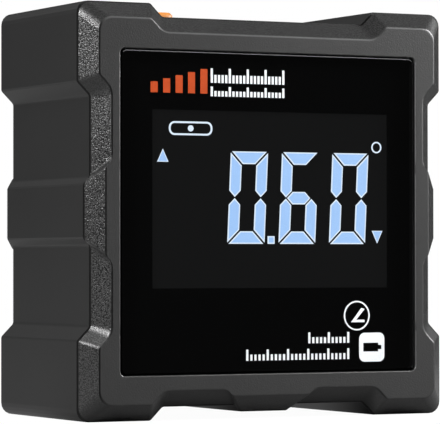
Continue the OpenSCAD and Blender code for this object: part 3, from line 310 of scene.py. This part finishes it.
def makeGrainGroup():
    # Leather grain: a noise on object coordinates, steepened about its middle level, which gives
    # rounded cells with valleys between them.
    g = bpy.data.node_groups.new("leatherGrain", "ShaderNodeTree")
    g.interface.new_socket("Scale", in_out="INPUT", socket_type="NodeSocketFloat")
    g.interface.new_socket("Height", in_out="OUTPUT", socket_type="NodeSocketFloat")
    gi = g.nodes.new("NodeGroupInput")
    go = g.nodes.new("NodeGroupOutput")
    tc = g.nodes.new("ShaderNodeTexCoord")
    cells = addNode(g, "ShaderNodeTexNoise")
    cells.inputs["Detail"].default_value = 0.5
    cells.inputs["Roughness"].default_value = 0.55
    link(g, tc.outputs["Object"], cells.inputs["Vector"])
    link(g, gi.outputs["Scale"], cells.inputs["Scale"])
    tall = addNode(g, "ShaderNodeMapRange", interpolation_type="SMOOTHSTEP")
    tall.inputs["From Min"].default_value = 0.32
    tall.inputs["From Max"].default_value = 0.68
    link(g, cells.outputs["Fac"], tall.inputs["Value"])
    link(g, tall.outputs[0], go.inputs["Height"])
    return g


leatherGrain = makeGrainGroup()


def makeBezelMaterial():
    # The front face has a fine grain and the bevels a coarse one. The vertex value "grain" picks
    # between them. "pale" marks rounded edges with a painted highlight, a paler colour and more
    # specular, and a smoother roughness. A further vertex value marks rounded edges that face left
    # with painted shade, a darker colour and less specular.
    look = bezelLook
    m, tree, out = newMaterial("bezelGrain")
    shader = tree.nodes.new("ShaderNodeBsdfPrincipled")
    tc = tree.nodes.new("ShaderNodeTexCoord")
    mask = addNode(tree, "ShaderNodeAttribute", attribute_name="grain")
    edge = addNode(tree, "ShaderNodeAttribute", attribute_name="pale")
    paintedShade = addNode(tree, "ShaderNodeAttribute", attribute_name="paintedShade")
    coarse = tree.nodes.new("ShaderNodeGroup")
    coarse.node_tree = leatherGrain
    coarse.inputs["Scale"].default_value = look["grainScale"]
    col, _ = tinted(tree, look["colour"], 120.0, 1500.0, 0.2)
    # On the bevels the grain's valleys get painted shade, a darker colour and less specular, and
    # its cells a painted highlight, a paler colour and more specular, over the plain colour.
    shade = addNode(tree, "ShaderNodeMapRange")
    shade.inputs["To Min"].default_value = look["grainDark"]
    shade.inputs["To Max"].default_value = look["grainPale"]
    link(tree, coarse.outputs[0], shade.inputs["Value"])
    pick = addNode(tree, "ShaderNodeMix", data_type="FLOAT")
    pick.inputs["A"].default_value = 1.0
    link(tree, mask.outputs["Fac"], pick.inputs["Factor"])
    link(tree, shade.outputs[0], pick.inputs["B"])
    # Painted highlight on rounded edges, which lifts colour and specular, times painted shade on those that face left.
    lift = addNode(tree, "ShaderNodeMath", operation="MULTIPLY_ADD", in_1=look["edgePale"], in_2=1.0)
    link(tree, edge.outputs["Fac"], lift.inputs[0])
    fade = addNode(tree, "ShaderNodeMath", operation="MULTIPLY_ADD", in_1=-look["edgeDark"], in_2=1.0)
    link(tree, paintedShade.outputs["Fac"], fade.inputs[0])
    edgeLightAndShade = addNode(tree, "ShaderNodeMath", operation="MULTIPLY")
    link(tree, lift.outputs[0], edgeLightAndShade.inputs[0])
    link(tree, fade.outputs[0], edgeLightAndShade.inputs[1])
    both = addNode(tree, "ShaderNodeMath", operation="MULTIPLY")
    link(tree, pick.outputs[0], both.inputs[0])
    link(tree, edgeLightAndShade.outputs[0], both.inputs[1])
    final = addNode(tree, "ShaderNodeVectorMath", operation="SCALE")
    link(tree, col, final.inputs[0])
    link(tree, both.outputs[0], final.inputs["Scale"])
    link(tree, final.outputs[0], shader.inputs["Base Color"])
    shine = addNode(tree, "ShaderNodeMath", operation="MULTIPLY", in_1=look["specular"])
    link(tree, both.outputs[0], shine.inputs[0])
    link(tree, shine.outputs[0], shader.inputs["Specular IOR Level"])
    rough = addNode(tree, "ShaderNodeMapRange")
    rough.inputs["To Min"].default_value = look["faceRough"]
    rough.inputs["To Max"].default_value = look["grainRough"]
    link(tree, mask.outputs["Fac"], rough.inputs["Value"])
    smoother = addNode(tree, "ShaderNodeMix", data_type="FLOAT")
    smoother.inputs["B"].default_value = look["edgeRough"]
    link(tree, edge.outputs["Fac"], smoother.inputs["Factor"])
    link(tree, rough.outputs[0], smoother.inputs["A"])
    link(tree, smoother.outputs[0], shader.inputs["Roughness"])
    fine = addNode(tree, "ShaderNodeTexNoise")
    fine.inputs["Scale"].default_value = look["faceScale"]
    link(tree, tc.outputs["Object"], fine.inputs["Vector"])
    strength = addNode(tree, "ShaderNodeMath", operation="MULTIPLY", in_1=look["grainBump"])
    link(tree, mask.outputs["Fac"], strength.inputs[0])
    first = addNode(tree, "ShaderNodeBump")
    first.inputs["Distance"].default_value = look["grainSize"]
    link(tree, strength.outputs[0], first.inputs["Strength"])
    link(tree, coarse.outputs[0], first.inputs["Height"])
    second = addNode(tree, "ShaderNodeBump")
    second.inputs["Strength"].default_value = look["faceBump"]
    second.inputs["Distance"].default_value = look["faceSize"]
    link(tree, fine.outputs["Fac"], second.inputs["Height"])
    link(tree, first.outputs["Normal"], second.inputs["Normal"])
    link(tree, second.outputs["Normal"], shader.inputs["Normal"])
    link(tree, shader.outputs[0], out.inputs["Surface"])
    return m


def makeLensMaterial():
    # Clear plate: what is behind it shows, and the fresnel share of a mirror lies over it. Rays
    # don't bend here, so the share counts only where they enter, not where they leave.
    m, tree, out = newMaterial("lensClear")
    clear = tree.nodes.new("ShaderNodeBsdfTransparent")
    clear.inputs["Color"].default_value = (0.97, 0.98, 0.99, 1)
    gloss = tree.nodes.new("ShaderNodeBsdfGlossy")
    tc = tree.nodes.new("ShaderNodeTexCoord")
    wave = addNode(tree, "ShaderNodeTexNoise")
    wave.inputs["Scale"].default_value = 60.0
    link(tree, tc.outputs["Object"], wave.inputs["Vector"])
    rough = addNode(tree, "ShaderNodeMapRange")
    rough.inputs["To Min"].default_value = 0.01
    rough.inputs["To Max"].default_value = 0.03
    link(tree, wave.outputs["Fac"], rough.inputs["Value"])
    link(tree, rough.outputs[0], gloss.inputs["Roughness"])
    fres = addNode(tree, "ShaderNodeFresnel")
    fres.inputs["IOR"].default_value = 1.45
    side = tree.nodes.new("ShaderNodeNewGeometry")
    front = addNode(tree, "ShaderNodeMath", operation="SUBTRACT", in_0=1.0)
    link(tree, side.outputs["Backfacing"], front.inputs[1])
    share = addNode(tree, "ShaderNodeMath", operation="MULTIPLY")
    link(tree, fres.outputs[0], share.inputs[0])
    link(tree, front.outputs[0], share.inputs[1])
    mix = tree.nodes.new("ShaderNodeMixShader")
    link(tree, share.outputs[0], mix.inputs[0])
    link(tree, clear.outputs[0], mix.inputs[1])
    link(tree, gloss.outputs[0], mix.inputs[2])
    link(tree, mix.outputs[0], out.inputs["Surface"])
    return m


def makeEmissive(name, colour, strength, coarse=300.0, amount=0.04, base=(0.03, 0.04, 0.05),
                 specular=0.5):
    # Lit shapes: an even glow with a slight unevenness from the light guide.
    m, tree, out = newMaterial(name)
    shader = tree.nodes.new("ShaderNodeBsdfPrincipled")
    shader.inputs["Base Color"].default_value = (*base, 1)
    shader.inputs["Specular IOR Level"].default_value = specular
    shader.inputs["Roughness"].default_value = 0.5
    col, _ = tinted(tree, colour, coarse, coarse * 4, amount)
    link(tree, col, shader.inputs["Emission Color"])
    shader.inputs["Emission Strength"].default_value = strength
    link(tree, shader.outputs[0], out.inputs["Surface"])
    return m


looks = {
    "housing": plastic("housingPlastic", (0.0099, 0.0099, 0.0099), 0.55, 90.0, 3000.0, 0.18, 0.12, 0.00001,
                       specular=0.19),
    "bezel": makeBezelMaterial(),
    "lens": makeLensMaterial(),
    # The lens chamfer's pale grey, where it faces up or right, is a painted highlight.
    "lensEdge": plastic("lensEdge", (0.1, 0.1, 0.104), 0.3, 200.0, 2000.0, 0.1, 0.0),
    "lensWall": plastic("lensWall", (0.001, 0.001, 0.001), 0.5, 200.0, 2000.0, 0.1, 0.0, specular=0.0),
    "mask": plastic("maskBlack", (0.0006, 0.0006, 0.0006), 0.5, 200.0, 2000.0, 0.2, 0.0, specular=0.0),
    "white": plastic("whiteInk", (0.8, 0.8, 0.8), 0.5, 300.0, 3000.0, 0.06, 0.0),
    "orange": plastic("orangeInk", (0.45, 0.058, 0.009), 0.5, 300.0, 3000.0, 0.06, 0.0, specular=0.15),
    "litFill": makeEmissive("litFill", (0.36, 0.6, 1.0), 0.9),
    "litEdge": makeEmissive("litEdge", (0.78, 0.88, 1.0), 0.95),
    "display": makeEmissive("displayGlass", (0.0053, 0.0053, 0.0053), 1.0, 200.0, 0.05, (0.001, 0.001, 0.001), 0.0),
    "orangeKey": plastic("orangeKey", (0.41, 0.15, 0.026), 0.5, 200.0, 3000.0, 0.1, 0.1, 0.00001),
    "darkKey": plastic("darkKey", (0.02, 0.02, 0.02), 0.5, 200.0, 3000.0, 0.15, 0.12, 0.00001),
    "rubber": plastic("coverRubber", (0.018, 0.018, 0.018), 0.7, 200.0, 2500.0, 0.2, 0.2, 0.00001),
    "steel": plastic("brightSteel", (0.55, 0.55, 0.57), 0.3, 200.0, 4000.0, 0.1, 0.05, 0.000005, metallic=1.0),
    "nickel": plastic("nickelPlate", (0.62, 0.61, 0.58), 0.22, 200.0, 4000.0, 0.08, 0.0, metallic=1.0),
    "board": plastic("boardGreen", (0.012, 0.11, 0.04), 0.35, 400.0, 3000.0, 0.2, 0.1, 0.00001),
    "chip": plastic("chipResin", (0.02, 0.02, 0.021), 0.55, 300.0, 4000.0, 0.2, 0.1, 0.00001),
    "palePlastic": plastic("palePlastic", (0.62, 0.61, 0.56), 0.5, 200.0, 2500.0, 0.08, 0.08, 0.00001),
    "ceramic": plastic("partCeramic", (0.4, 0.25, 0.14), 0.4, 400.0, 3000.0, 0.2, 0.0),
    "foil": plastic("cellFoil", (0.55, 0.56, 0.58), 0.4, 250.0, 1800.0, 0.15, 0.3, 0.00003, metallic=0.8),
    "wire": plastic("wireRed", (0.45, 0.02, 0.02), 0.45, 300.0, 3000.0, 0.1, 0.0),
    "strip": plastic("stripRubber", (0.6, 0.2, 0.24), 0.6, 300.0, 6000.0, 0.4, 0.0),
    "guide": plastic("lightGuide", (0.78, 0.84, 0.9), 0.35, 150.0, 1500.0, 0.06, 0.0),
}
print("materials made", len(looks))


def paint(nodeName, material):
    mesh = nodes[nodeName].data
    mesh.materials.clear()
    mesh.materials.append(material)


cadPaint = {
    "rear_housing": "housing", "case_gasket": "rubber", "case_screws": "steel", "white_marks": "white",
    "orange_marks": "orange", "window_mask": "mask", "window_tape": "palePlastic",
    "lcd_front_glass": "display", "lcd_rear_glass": "display", "lcd_backlight": "guide",
    "lcd_frame": "palePlastic", "contact_strip": "strip", "main_board": "board",
    "board_screws": "steel", "controller_chip": "chip", "tilt_sensor": "chip", "quartz_can": "steel",
    "small_parts": "ceramic", "charge_link": "chip", "key_link": "chip", "key_board": "board",
    "key_switches": "chip", "power_plunger": "palePlastic", "zero_plunger": "palePlastic",
    "hold_plunger": "palePlastic", "key_seal": "rubber", "power_button": "orangeKey",
    "zero_button": "darkKey", "hold_button": "darkKey", "battery_cell": "foil",
    "battery_tape": "palePlastic", "battery_wires": "wire", "battery_plug": "palePlastic",
    "charge_board": "board", "charge_chip": "chip", "charge_socket": "steel", "socket_tongue": "chip",
    "left_magnets": "nickel", "right_magnets": "nickel", "top_magnets": "nickel",
    "bottom_magnets": "nickel", "usb_cover": "rubber", "usb_cover_anchor": "rubber",
}
for nodeName, look in cadPaint.items():
    paint(nodeName, looks[look])


def buildBezel():
    # Rings from the window's edge over the front face and the bevel to the parting line, then back
    # through the inside, closed to the first ring.
    s, w = shell, window
    centre = np.array([0.0, s["half"]])
    front = outlineRing(s["bevelIn"], s["frontCrestR"], s["frontFootR"], s["padFootR"], s["frontCornerR"])
    frontIn = outlineRing(s["bevelIn"] + s["edge"], s["frontCrestR"], s["frontFootR"] + s["edge"],
                          s["padFootR"] + s["edge"] * 0.5, s["frontCornerR"])
    outer = outlineRing(0.0, s["crestR"], s["footR"], s["footR"], s["cornerR"])
    rim = rectRing(0, w["up"], w["width"], w["height"], w["radius"])
    rimOut = rectRing(0, w["up"], w["width"] + 2 * s["rimEdge"], w["height"] + 2 * s["rimEdge"],
                      w["radius"] + s["rimEdge"])
    rel = rim - centre
    cuts = [c for c in zip(*rayHits(frontIn, centre, np.arctan2(rel[:, 1], rel[:, 0])))
            if 0.001 < c[1] < 0.999]
    front, frontIn, outer = (splitAt(r, cuts) for r in (front, frontIn, outer))
    rel = frontIn - centre
    angles = np.arctan2(rel[:, 1], rel[:, 0])
    rim, rimOut = (raySample(r, centre, angles) for r in (rim, rimOut))
    hole = raySample(rectRing(0.85, 30.8, 41.5, 30.3, 0.4), centre, angles)
    inner = raySample(rectRing(0, s["half"], 49.4, 49.4, 0.5), centre, angles)
    rings, grain, pale, paintedShade = [], [], [], []
    # The way that the outline faces, left or right and up or down.
    turn = np.roll(outer, -1, 0) - np.roll(outer, 1, 0)
    out = np.stack([turn[:, 1], -turn[:, 0]], 1) / np.linalg.norm(turn, axis=1)[:, None]
    upward, leftward, rightward, downward = (
        np.clip(v, 0, 1) for v in (out[:, 1], -out[:, 0], out[:, 0], -out[:, 1]))
    # The grain, with its bump and its painted shade and highlight, is full where the outline faces
    # left or right. It is weaker above and towards the foot, and almost gone where the outline faces down.
    side = bezelLook["topGrain"] + (bezelLook["sideGrain"] - bezelLook["topGrain"]) * (1 - upward) ** 1.5
    side *= np.clip(0.5 + outer[:, 1] / 36, 0, 1) * (1 - 0.9 * downward ** 0.7)

    def add(ring3, g, p=0.0, d=0.0):
        rings.append(ring3)
        grain.append(side * float(g))
        pale.append(np.zeros(len(ring3)) + p)
        paintedShade.append(np.zeros(len(ring3)) + d)

    add(ringAt(rim, w["seat"]), 0)
    for t in np.linspace(0, math.pi / 2, 5):
        # A quarter round from the window's wall to the front face, with a painted highlight on its
        # middle, though none along the window's top edge.
        share = 1 - math.cos(t)
        mid = math.sin(2 * t) ** 0.5
        add(ringAt(rim + (rimOut - rim) * share, s["rimEdge"] * (1 - math.sin(t))), 0,
            mid * np.clip(1 - 2 * upward, 0, 1) * 0.6)
    a, f, o = ringAt(frontIn, 0), ringAt(front, 0), ringAt(outer, s["bevelDepth"])
    length = np.linalg.norm(o - f, axis=1)[:, None]
    b = f + (o - f) * (s["edge"] * mm / length)
    for t in np.linspace(0, 1, 6):
        # A curve from the front face to the bevel that leaves both flat.
        # Painted highlight on this rounding where the outline faces up, less where it also faces right, and painted
        # shade where it faces left.
        add((1 - t) ** 2 * a + 2 * t * (1 - t) * f + t * t * b, max(0.0, 2.5 * t - 1.5),
            math.sin(math.pi * t) ** 0.7 * upward ** 1.5 * (1 - 0.8 * rightward),
            math.sin(math.pi * t) ** 0.7 * leftward ** 1.5)
    add(b + (o - b) * 0.5, 1)
    add(f + (o - f) * (1 - s["groove"] / s["bevelDepth"]), 1)
    groove = splitAt(outlineRing(s["grooveIn"], s["crestR"], s["footR"], s["footR"], s["cornerR"]), cuts)
    add(ringAt(groove, s["bevelDepth"] - s["groove"]), 1)
    add(ringAt(groove, s["bevelDepth"]), 0)
    add(ringAt(inner, s["bevelDepth"]), 0)
    add(ringAt(inner, 3.4), 0)
    add(ringAt(hole, 3.4), 0)
    add(ringAt(hole, w["seat"]), 0)
    n = len(rim)
    verts = np.concatenate(rings)
    faces = bandFaces(len(rings), n, closed=True)
    return makeMesh("bezelShell", verts, faces[:, ::-1], "case", ["front_bezel"],
                    [looks["bezel"]],
                    values={"grain": np.concatenate(grain), "pale": np.concatenate(pale),
                            "paintedShade": np.concatenate(paintedShade)})


bezelShell = buildBezel()
print("bezel made", len(bezelShell.data.vertices))


def buildLens():
    # A plate with chamfered edges. The walls are dark. Where the chamfer faces up or right it is
    # pale grey, a painted highlight, and where it faces down or left it takes the walls' dark colour,
    # painted shade.
    w, l = window, lens
    rings = []
    back = l["below"] + l["thick"]
    for inset, depth in ((0, back), (0, l["below"] + l["chamfer"]), (l["chamfer"], l["below"])):
        d = 2 * (l["gap"] + inset)
        rings.append(ringAt(rectRing(0, w["up"], w["width"] - d, w["height"] - d,
                                     l["radius"] - inset), depth))
    n = len(rings[0])
    c0 = np.array([[0, depthToY(back) * mm, w["up"] * mm]])
    c1 = np.array([[0, depthToY(l["below"]) * mm, w["up"] * mm]])
    verts = np.concatenate(rings + [c0, c1])
    quads = bandFaces(3, n)
    i = np.arange(n)
    j = (i + 1) % n
    backFan = np.stack([np.full(n, 3 * n), j, i], 1)
    frontFan = np.stack([np.full(n, 3 * n + 1), 2 * n + i, 2 * n + j], 1)
    tris = np.concatenate([quads[:, [0, 1, 2]], quads[:, [0, 2, 3]], backFan, frontFan])
    mid = (rings[0] + np.roll(rings[0], -1, 0)) / 2 - c0
    # Painted highlight on the chamfer where it faces up or right, painted shade where it faces down or left.
    highlightSide = np.where((mid[:, 0] / w["width"] > -mid[:, 2] / w["height"]), 2, 1)
    wall = np.ones(n)
    slots = np.concatenate([wall, highlightSide, wall, highlightSide, np.zeros(2 * n)])
    return makeMesh("lensPlate", verts, tris, "case", ["window_lens"],
                    [looks["lens"], looks["lensWall"], looks["lensEdge"]], slots, smooth=False)


lensPlate = buildLens()

# The lit shapes, in millimetres, as in the CAD part.
digits = {"height": 13.45, "width": 6.1, "pitch": 8.45, "x": -6.04, "up": 25.4, "bar": 1.83, "gap": 0.21,
          "lean": 0.046, "edge": 0.17, "front": 1.75, "thick": 0.09}


def barShapes():
    w, h, s, e = digits["width"], digits["height"], digits["bar"], digits["gap"]
    m = h / 2
    q = m - s / 2 - e / 2
    return [
        [(e, h), (w - e, h), (w - s - e, h - s), (s + e, h - s)],
        [(w, h - e), (w - s, h - s - e), (w - s, h - q), (w - s / 2, m + e / 2), (w, h - q)],
        [(w, e), (w - s, s + e), (w - s, q), (w - s / 2, m - e / 2), (w, q)],
        [(e, 0), (w - e, 0), (w - s - e, s), (s + e, s)],
        [(0, e), (s, s + e), (s, q), (s / 2, m - e / 2), (0, q)],
        [(0, h - e), (s, h - s - e), (s, h - q), (s / 2, m + e / 2), (0, h - q)],
        [(s / 2 + e, m), (s + e, m + s / 2), (w - s - e, m + s / 2), (w - s / 2 - e, m),
         (w - s - e, m - s / 2), (s + e, m - s / 2)],
    ]


def insetShape(pts, d):
    # Each side moves inwards by d, and the new corners are where neighbouring sides meet.
    p = np.array(pts, float)
    area = np.sum(p[:, 0] * np.roll(p[:, 1], -1) - np.roll(p[:, 0], -1) * p[:, 1])
    if area < 0:
        p = p[::-1]
    e = np.roll(p, -1, 0) - p
    nrm = np.stack([-e[:, 1], e[:, 0]], 1) / np.linalg.norm(e, axis=1)[:, None]
    out = []
    for i in range(len(p)):
        a, b = nrm[i - 1], nrm[i]
        out.append(p[i] + (a + b) * d / (1 + a @ b))
    return p, np.array(out)


def buildLit():
    # Every lit shape is a thin plate with a paler border strip.
    d = digits
    shapes = []
    for i, bars in enumerate(((0, 1, 2, 3, 4, 5), (0, 2, 3, 4, 5, 6), (0, 1, 2, 3, 4, 5))):
        for k in bars:
            pts = [(d["x"] + i * d["pitch"] + x + (z - d["height"] / 2) * d["lean"], d["up"] + z)
                   for x, z in barShapes()[k]]
            shapes.append((pts, d["edge"]))
    shapes.append(([(0.295, 25.4), (1.425, 25.4), (1.425, 26.53), (0.295, 26.53)], d["edge"]))
    shapes.append(([(-16.75, 39.025), (-17.65, 37.175), (-15.85, 37.175)], 0.1))
    shapes.append(([(18.75, 25.525), (17.85, 27.375), (19.65, 27.375)], 0.1))
    verts, faces, slots = [], [], []
    y0, y1 = depthToY(d["front"] + 0.005), depthToY(d["front"] + d["thick"])
    for pts, edge in shapes:
        p, q = insetShape(pts, edge)
        n, base = len(p), sum(len(v) for v in verts)
        middle = q.mean(0)[None]
        flat = np.concatenate([p, q, middle])
        front = np.stack([flat[:, 0], np.full(len(flat), y0), flat[:, 1]], 1)
        rear = np.stack([p[:, 0], np.full(n, y1), p[:, 1]], 1)
        rearMid = np.array([[middle[0, 0], y1, middle[0, 1]]])
        verts.append(np.concatenate([front, rear, rearMid]) * mm)
        i = np.arange(n)
        j = (i + 1) % n
        r = 2 * n + 1
        parts = [(np.stack([i, j, n + j], 1), 1), (np.stack([i, n + j, n + i], 1), 1),
                 (np.stack([n + i, n + j, np.full(n, 2 * n)], 1), 0),
                 (np.stack([r + i, r + j, j], 1), 1), (np.stack([r + i, j, i], 1), 1),
                 (np.stack([r + j, r + i, np.full(n, r + n)], 1), 1)]
        for f, k in parts:
            faces.append(f + base)
            slots.append(np.full(len(f), k))
    rings = [(18.65, 39.78, 0.85, 0.65, 40)]
    for cx, cz, outR, inR, n in rings:
        t = np.linspace(0, 2 * math.pi, n, endpoint=False)
        unit = np.stack([np.cos(t), np.sin(t)], 1)
        o, q = np.array([cx, cz]) + unit * outR, np.array([cx, cz]) + unit * inR
        addStrip(verts, faces, slots, o, q, y0, y1, 1)
    o = rectRing(-12.27, 42.05, 7.0, 2.0, 0.9, 8)
    q = rectRing(-12.27, 42.05, 7.0 - 0.52, 2.0 - 0.52, 0.66, 8)
    addStrip(verts, faces, slots, o, q, y0, y1, 1)
    t = np.linspace(0, 2 * math.pi, 24, endpoint=False)
    dot = np.array([-12.27, 42.05]) + 0.45 * np.stack([np.cos(t), np.sin(t)], 1)
    addStrip(verts, faces, slots, dot, np.tile(np.array([[-12.27, 42.05]]), (24, 1)) + (dot - [-12.27, 42.05]) * 0.02,
             y0, y1, 1)
    return makeMesh("litShapes", np.concatenate(verts), np.concatenate(faces), "case", ["lcd_segments"],
                    [looks["litFill"], looks["litEdge"]], np.concatenate(slots), smooth=False)


def addStrip(verts, faces, slots, outerRing, innerRing, y0, y1, k):
    # A closed flat strip between two rings with matching points, with its walls and its back.
    n, base = len(outerRing), sum(len(v) for v in verts)
    rows = [np.stack([r[:, 0], np.full(n, y), r[:, 1]], 1)
            for r, y in ((outerRing, y0), (innerRing, y0), (innerRing, y1), (outerRing, y1))]
    verts.append(np.concatenate(rows) * mm)
    quads = bandFaces(4, n, closed=True)
    tris = np.concatenate([quads[:, [0, 1, 2]], quads[:, [0, 2, 3]]])
    faces.append(tris + base)
    slots.append(np.full(len(tris), k))


litShapes = buildLit()
print("window and lit shapes made")


# Camera, from a fit to the photograph's edges
view = {"x": -209.11, "y": -391.27 - 15.5, "z": 22.84, "yaw": 27.1507, "pitch": 0.9295, "roll": -0.0494,
        "focal": 3047.44, "frameWidth": 440.0, "sensor": 36.0}


def makeCamera():
    # Yaw turns to the right, pitch up. The lens is the focal length in pixels over the width.
    yaw, pitch, roll = (math.radians(view[k]) for k in ("yaw", "pitch", "roll"))
    ahead = np.array([math.sin(yaw) * math.cos(pitch), math.cos(yaw) * math.cos(pitch), math.sin(pitch)])
    right = np.array([math.cos(yaw), -math.sin(yaw), 0.0])
    up = np.cross(right, ahead)
    right, up = (math.cos(roll) * right + math.sin(roll) * up, -math.sin(roll) * right + math.cos(roll) * up)
    data = bpy.data.cameras.new("camera")
    data.sensor_width = view["sensor"]
    data.sensor_fit = "HORIZONTAL"
    data.lens = view["focal"] * view["sensor"] / view["frameWidth"]
    data.clip_start = 0.01
    data.clip_end = 20
    cam = bpy.data.objects.new("camera", data)
    scene.collection.objects.link(cam)
    m = Matrix(np.stack([right, up, -ahead], 1).tolist()).to_4x4()
    m.translation = [view[k] * mm for k in ("x", "y", "z")]
    cam.matrix_world = m
    scene.camera = cam
    return cam


makeCamera()


# Floor, world and lights
def makeFloor():
    # A small pale floor. Seen straight by the camera it is mostly plain white, and the rest of
    # its colour is lit, so that the shadow stays. Mirroring surfaces see it pale behind the
    # object, rising with the distance. Little light comes up from it otherwise.
    m, tree, out = newMaterial("paleFloor")
    lit = tree.nodes.new("ShaderNodeBsdfDiffuse")
    col, _ = tinted(tree, (0.88, 0.88, 0.88), 20.0, 200.0, 0.02)
    shade = addNode(tree, "ShaderNodeVectorMath", operation="SCALE")
    plain = tree.nodes.new("ShaderNodeEmission")
    plain.inputs["Strength"].default_value = 1.0
    path = tree.nodes.new("ShaderNodeLightPath")
    tc = tree.nodes.new("ShaderNodeTexCoord")
    axes = tree.nodes.new("ShaderNodeSeparateXYZ")
    link(tree, tc.outputs["Object"], axes.inputs[0])
    behind = addNode(tree, "ShaderNodeMapRange")
    for key, value in {"From Min": -0.0125, "From Max": 0.004, "To Min": 0.0, "To Max": 0.95}.items():
        behind.inputs[key].default_value = value
    link(tree, axes.outputs["Y"], behind.inputs["Value"])
    mirrored = addNode(tree, "ShaderNodeMath", operation="MULTIPLY")
    link(tree, behind.outputs[0], mirrored.inputs[0])
    link(tree, path.outputs["Is Glossy Ray"], mirrored.inputs[1])
    share = addNode(tree, "ShaderNodeMath", operation="MULTIPLY_ADD", in_1=0.97)
    link(tree, path.outputs["Is Camera Ray"], share.inputs[0])
    link(tree, mirrored.outputs[0], share.inputs[2])
    level = addNode(tree, "ShaderNodeMath", operation="MULTIPLY_ADD", in_1=0.7, in_2=0.3)
    link(tree, path.outputs["Is Camera Ray"], level.inputs[0])
    link(tree, col, shade.inputs[0])
    link(tree, level.outputs[0], shade.inputs["Scale"])
    link(tree, shade.outputs[0], lit.inputs["Color"])
    mix = tree.nodes.new("ShaderNodeMixShader")
    link(tree, share.outputs[0], mix.inputs[0])
    link(tree, lit.outputs[0], mix.inputs[1])
    link(tree, plain.outputs[0], mix.inputs[2])
    link(tree, mix.outputs[0], out.inputs["Surface"])
    mesh = bpy.data.meshes.new("floor")
    mesh.from_pydata([(-0.22, -0.13, 0), (0.13, -0.13, 0), (0.13, 0.25, 0), (-0.22, 0.25, 0)], [], [(0, 1, 2, 3)])
    mesh.materials.append(m)
    floor = bpy.data.objects.new("floor", mesh)
    scene.collection.objects.link(floor)


def makeWorld():
    # White where the camera sees it straight, and a dim grey for every other ray.
    world = bpy.data.worlds.new("world")
    world.use_nodes = True
    tree = world.node_tree
    tree.nodes.clear()
    out = tree.nodes.new("ShaderNodeOutputWorld")
    white = tree.nodes.new("ShaderNodeBackground")
    white.inputs["Color"].default_value = (1, 1, 1, 1)
    dim = tree.nodes.new("ShaderNodeBackground")
    dim.inputs["Color"].default_value = (1, 1, 1, 1)
    dim.inputs["Strength"].default_value = 0.065
    path = tree.nodes.new("ShaderNodeLightPath")
    mix = tree.nodes.new("ShaderNodeMixShader")
    link(tree, path.outputs["Is Camera Ray"], mix.inputs[0])
    link(tree, dim.outputs[0], mix.inputs[1])
    link(tree, white.outputs[0], mix.inputs[2])
    link(tree, mix.outputs[0], out.inputs["Surface"])
    scene.world = world


def areaLight(name, place, target, size, power):
    # A square soft light at a place in metres that faces a target.
    data = bpy.data.lights.new(name, "AREA")
    data.shape = "RECTANGLE"
    data.size, data.size_y = size
    data.energy = power
    obj = bpy.data.objects.new(name, data)
    scene.collection.objects.link(obj)
    away = np.array(place, float) - np.array(target, float)
    away /= np.linalg.norm(away)
    side = np.cross([0, 0, 1.0], away)
    side /= np.linalg.norm(side)
    m = Matrix(np.stack([side, np.cross(away, side), away], 1).tolist()).to_4x4()
    m.translation = place
    obj.matrix_world = m
    return obj


makeFloor()
makeWorld()
lights = {
    "rightFront": {"place": (0.678, -0.391, 0.196), "target": (0, 0, 0.03), "size": (0.22, 0.22), "power": 0.785},
    "leftRear": {"place": (-0.315, 0.546, 0.523), "target": (0, 0, 0.03), "size": (0.22, 0.22), "power": 0.654},
    "backHigh": {"place": (0.209, 0.249, 0.761), "target": (0, 0, 0.03), "size": (0.22, 0.22), "power": 0.364},
    "nearRightUp": {"place": (0.200, -0.080, 0.120), "target": (0.03, -0.015, 0.04), "size": (0.06, 0.06), "power": 1.312},
    "glintLow": {"place": (-0.282, -0.122, 0.152), "target": (-0.03, -0.015, 0.03), "size": (0.03, 0.06), "power": 0.100},
    "glint": {"place": (-0.265, -0.120, 0.185), "target": (-0.03, -0.015, 0.03), "size": (0.03, 0.08), "power": 2.000},
    "rightHighWide": {"place": (0.350, 0.050, 0.650), "target": (0, 0, 0.03), "size": (0.5, 0.5), "power": 0.051},
}
for name, spec in lights.items():
    areaLight(name, spec["place"], spec["target"], spec["size"], spec["power"])
scene.view_settings.view_transform = "Standard"
print("stage made")
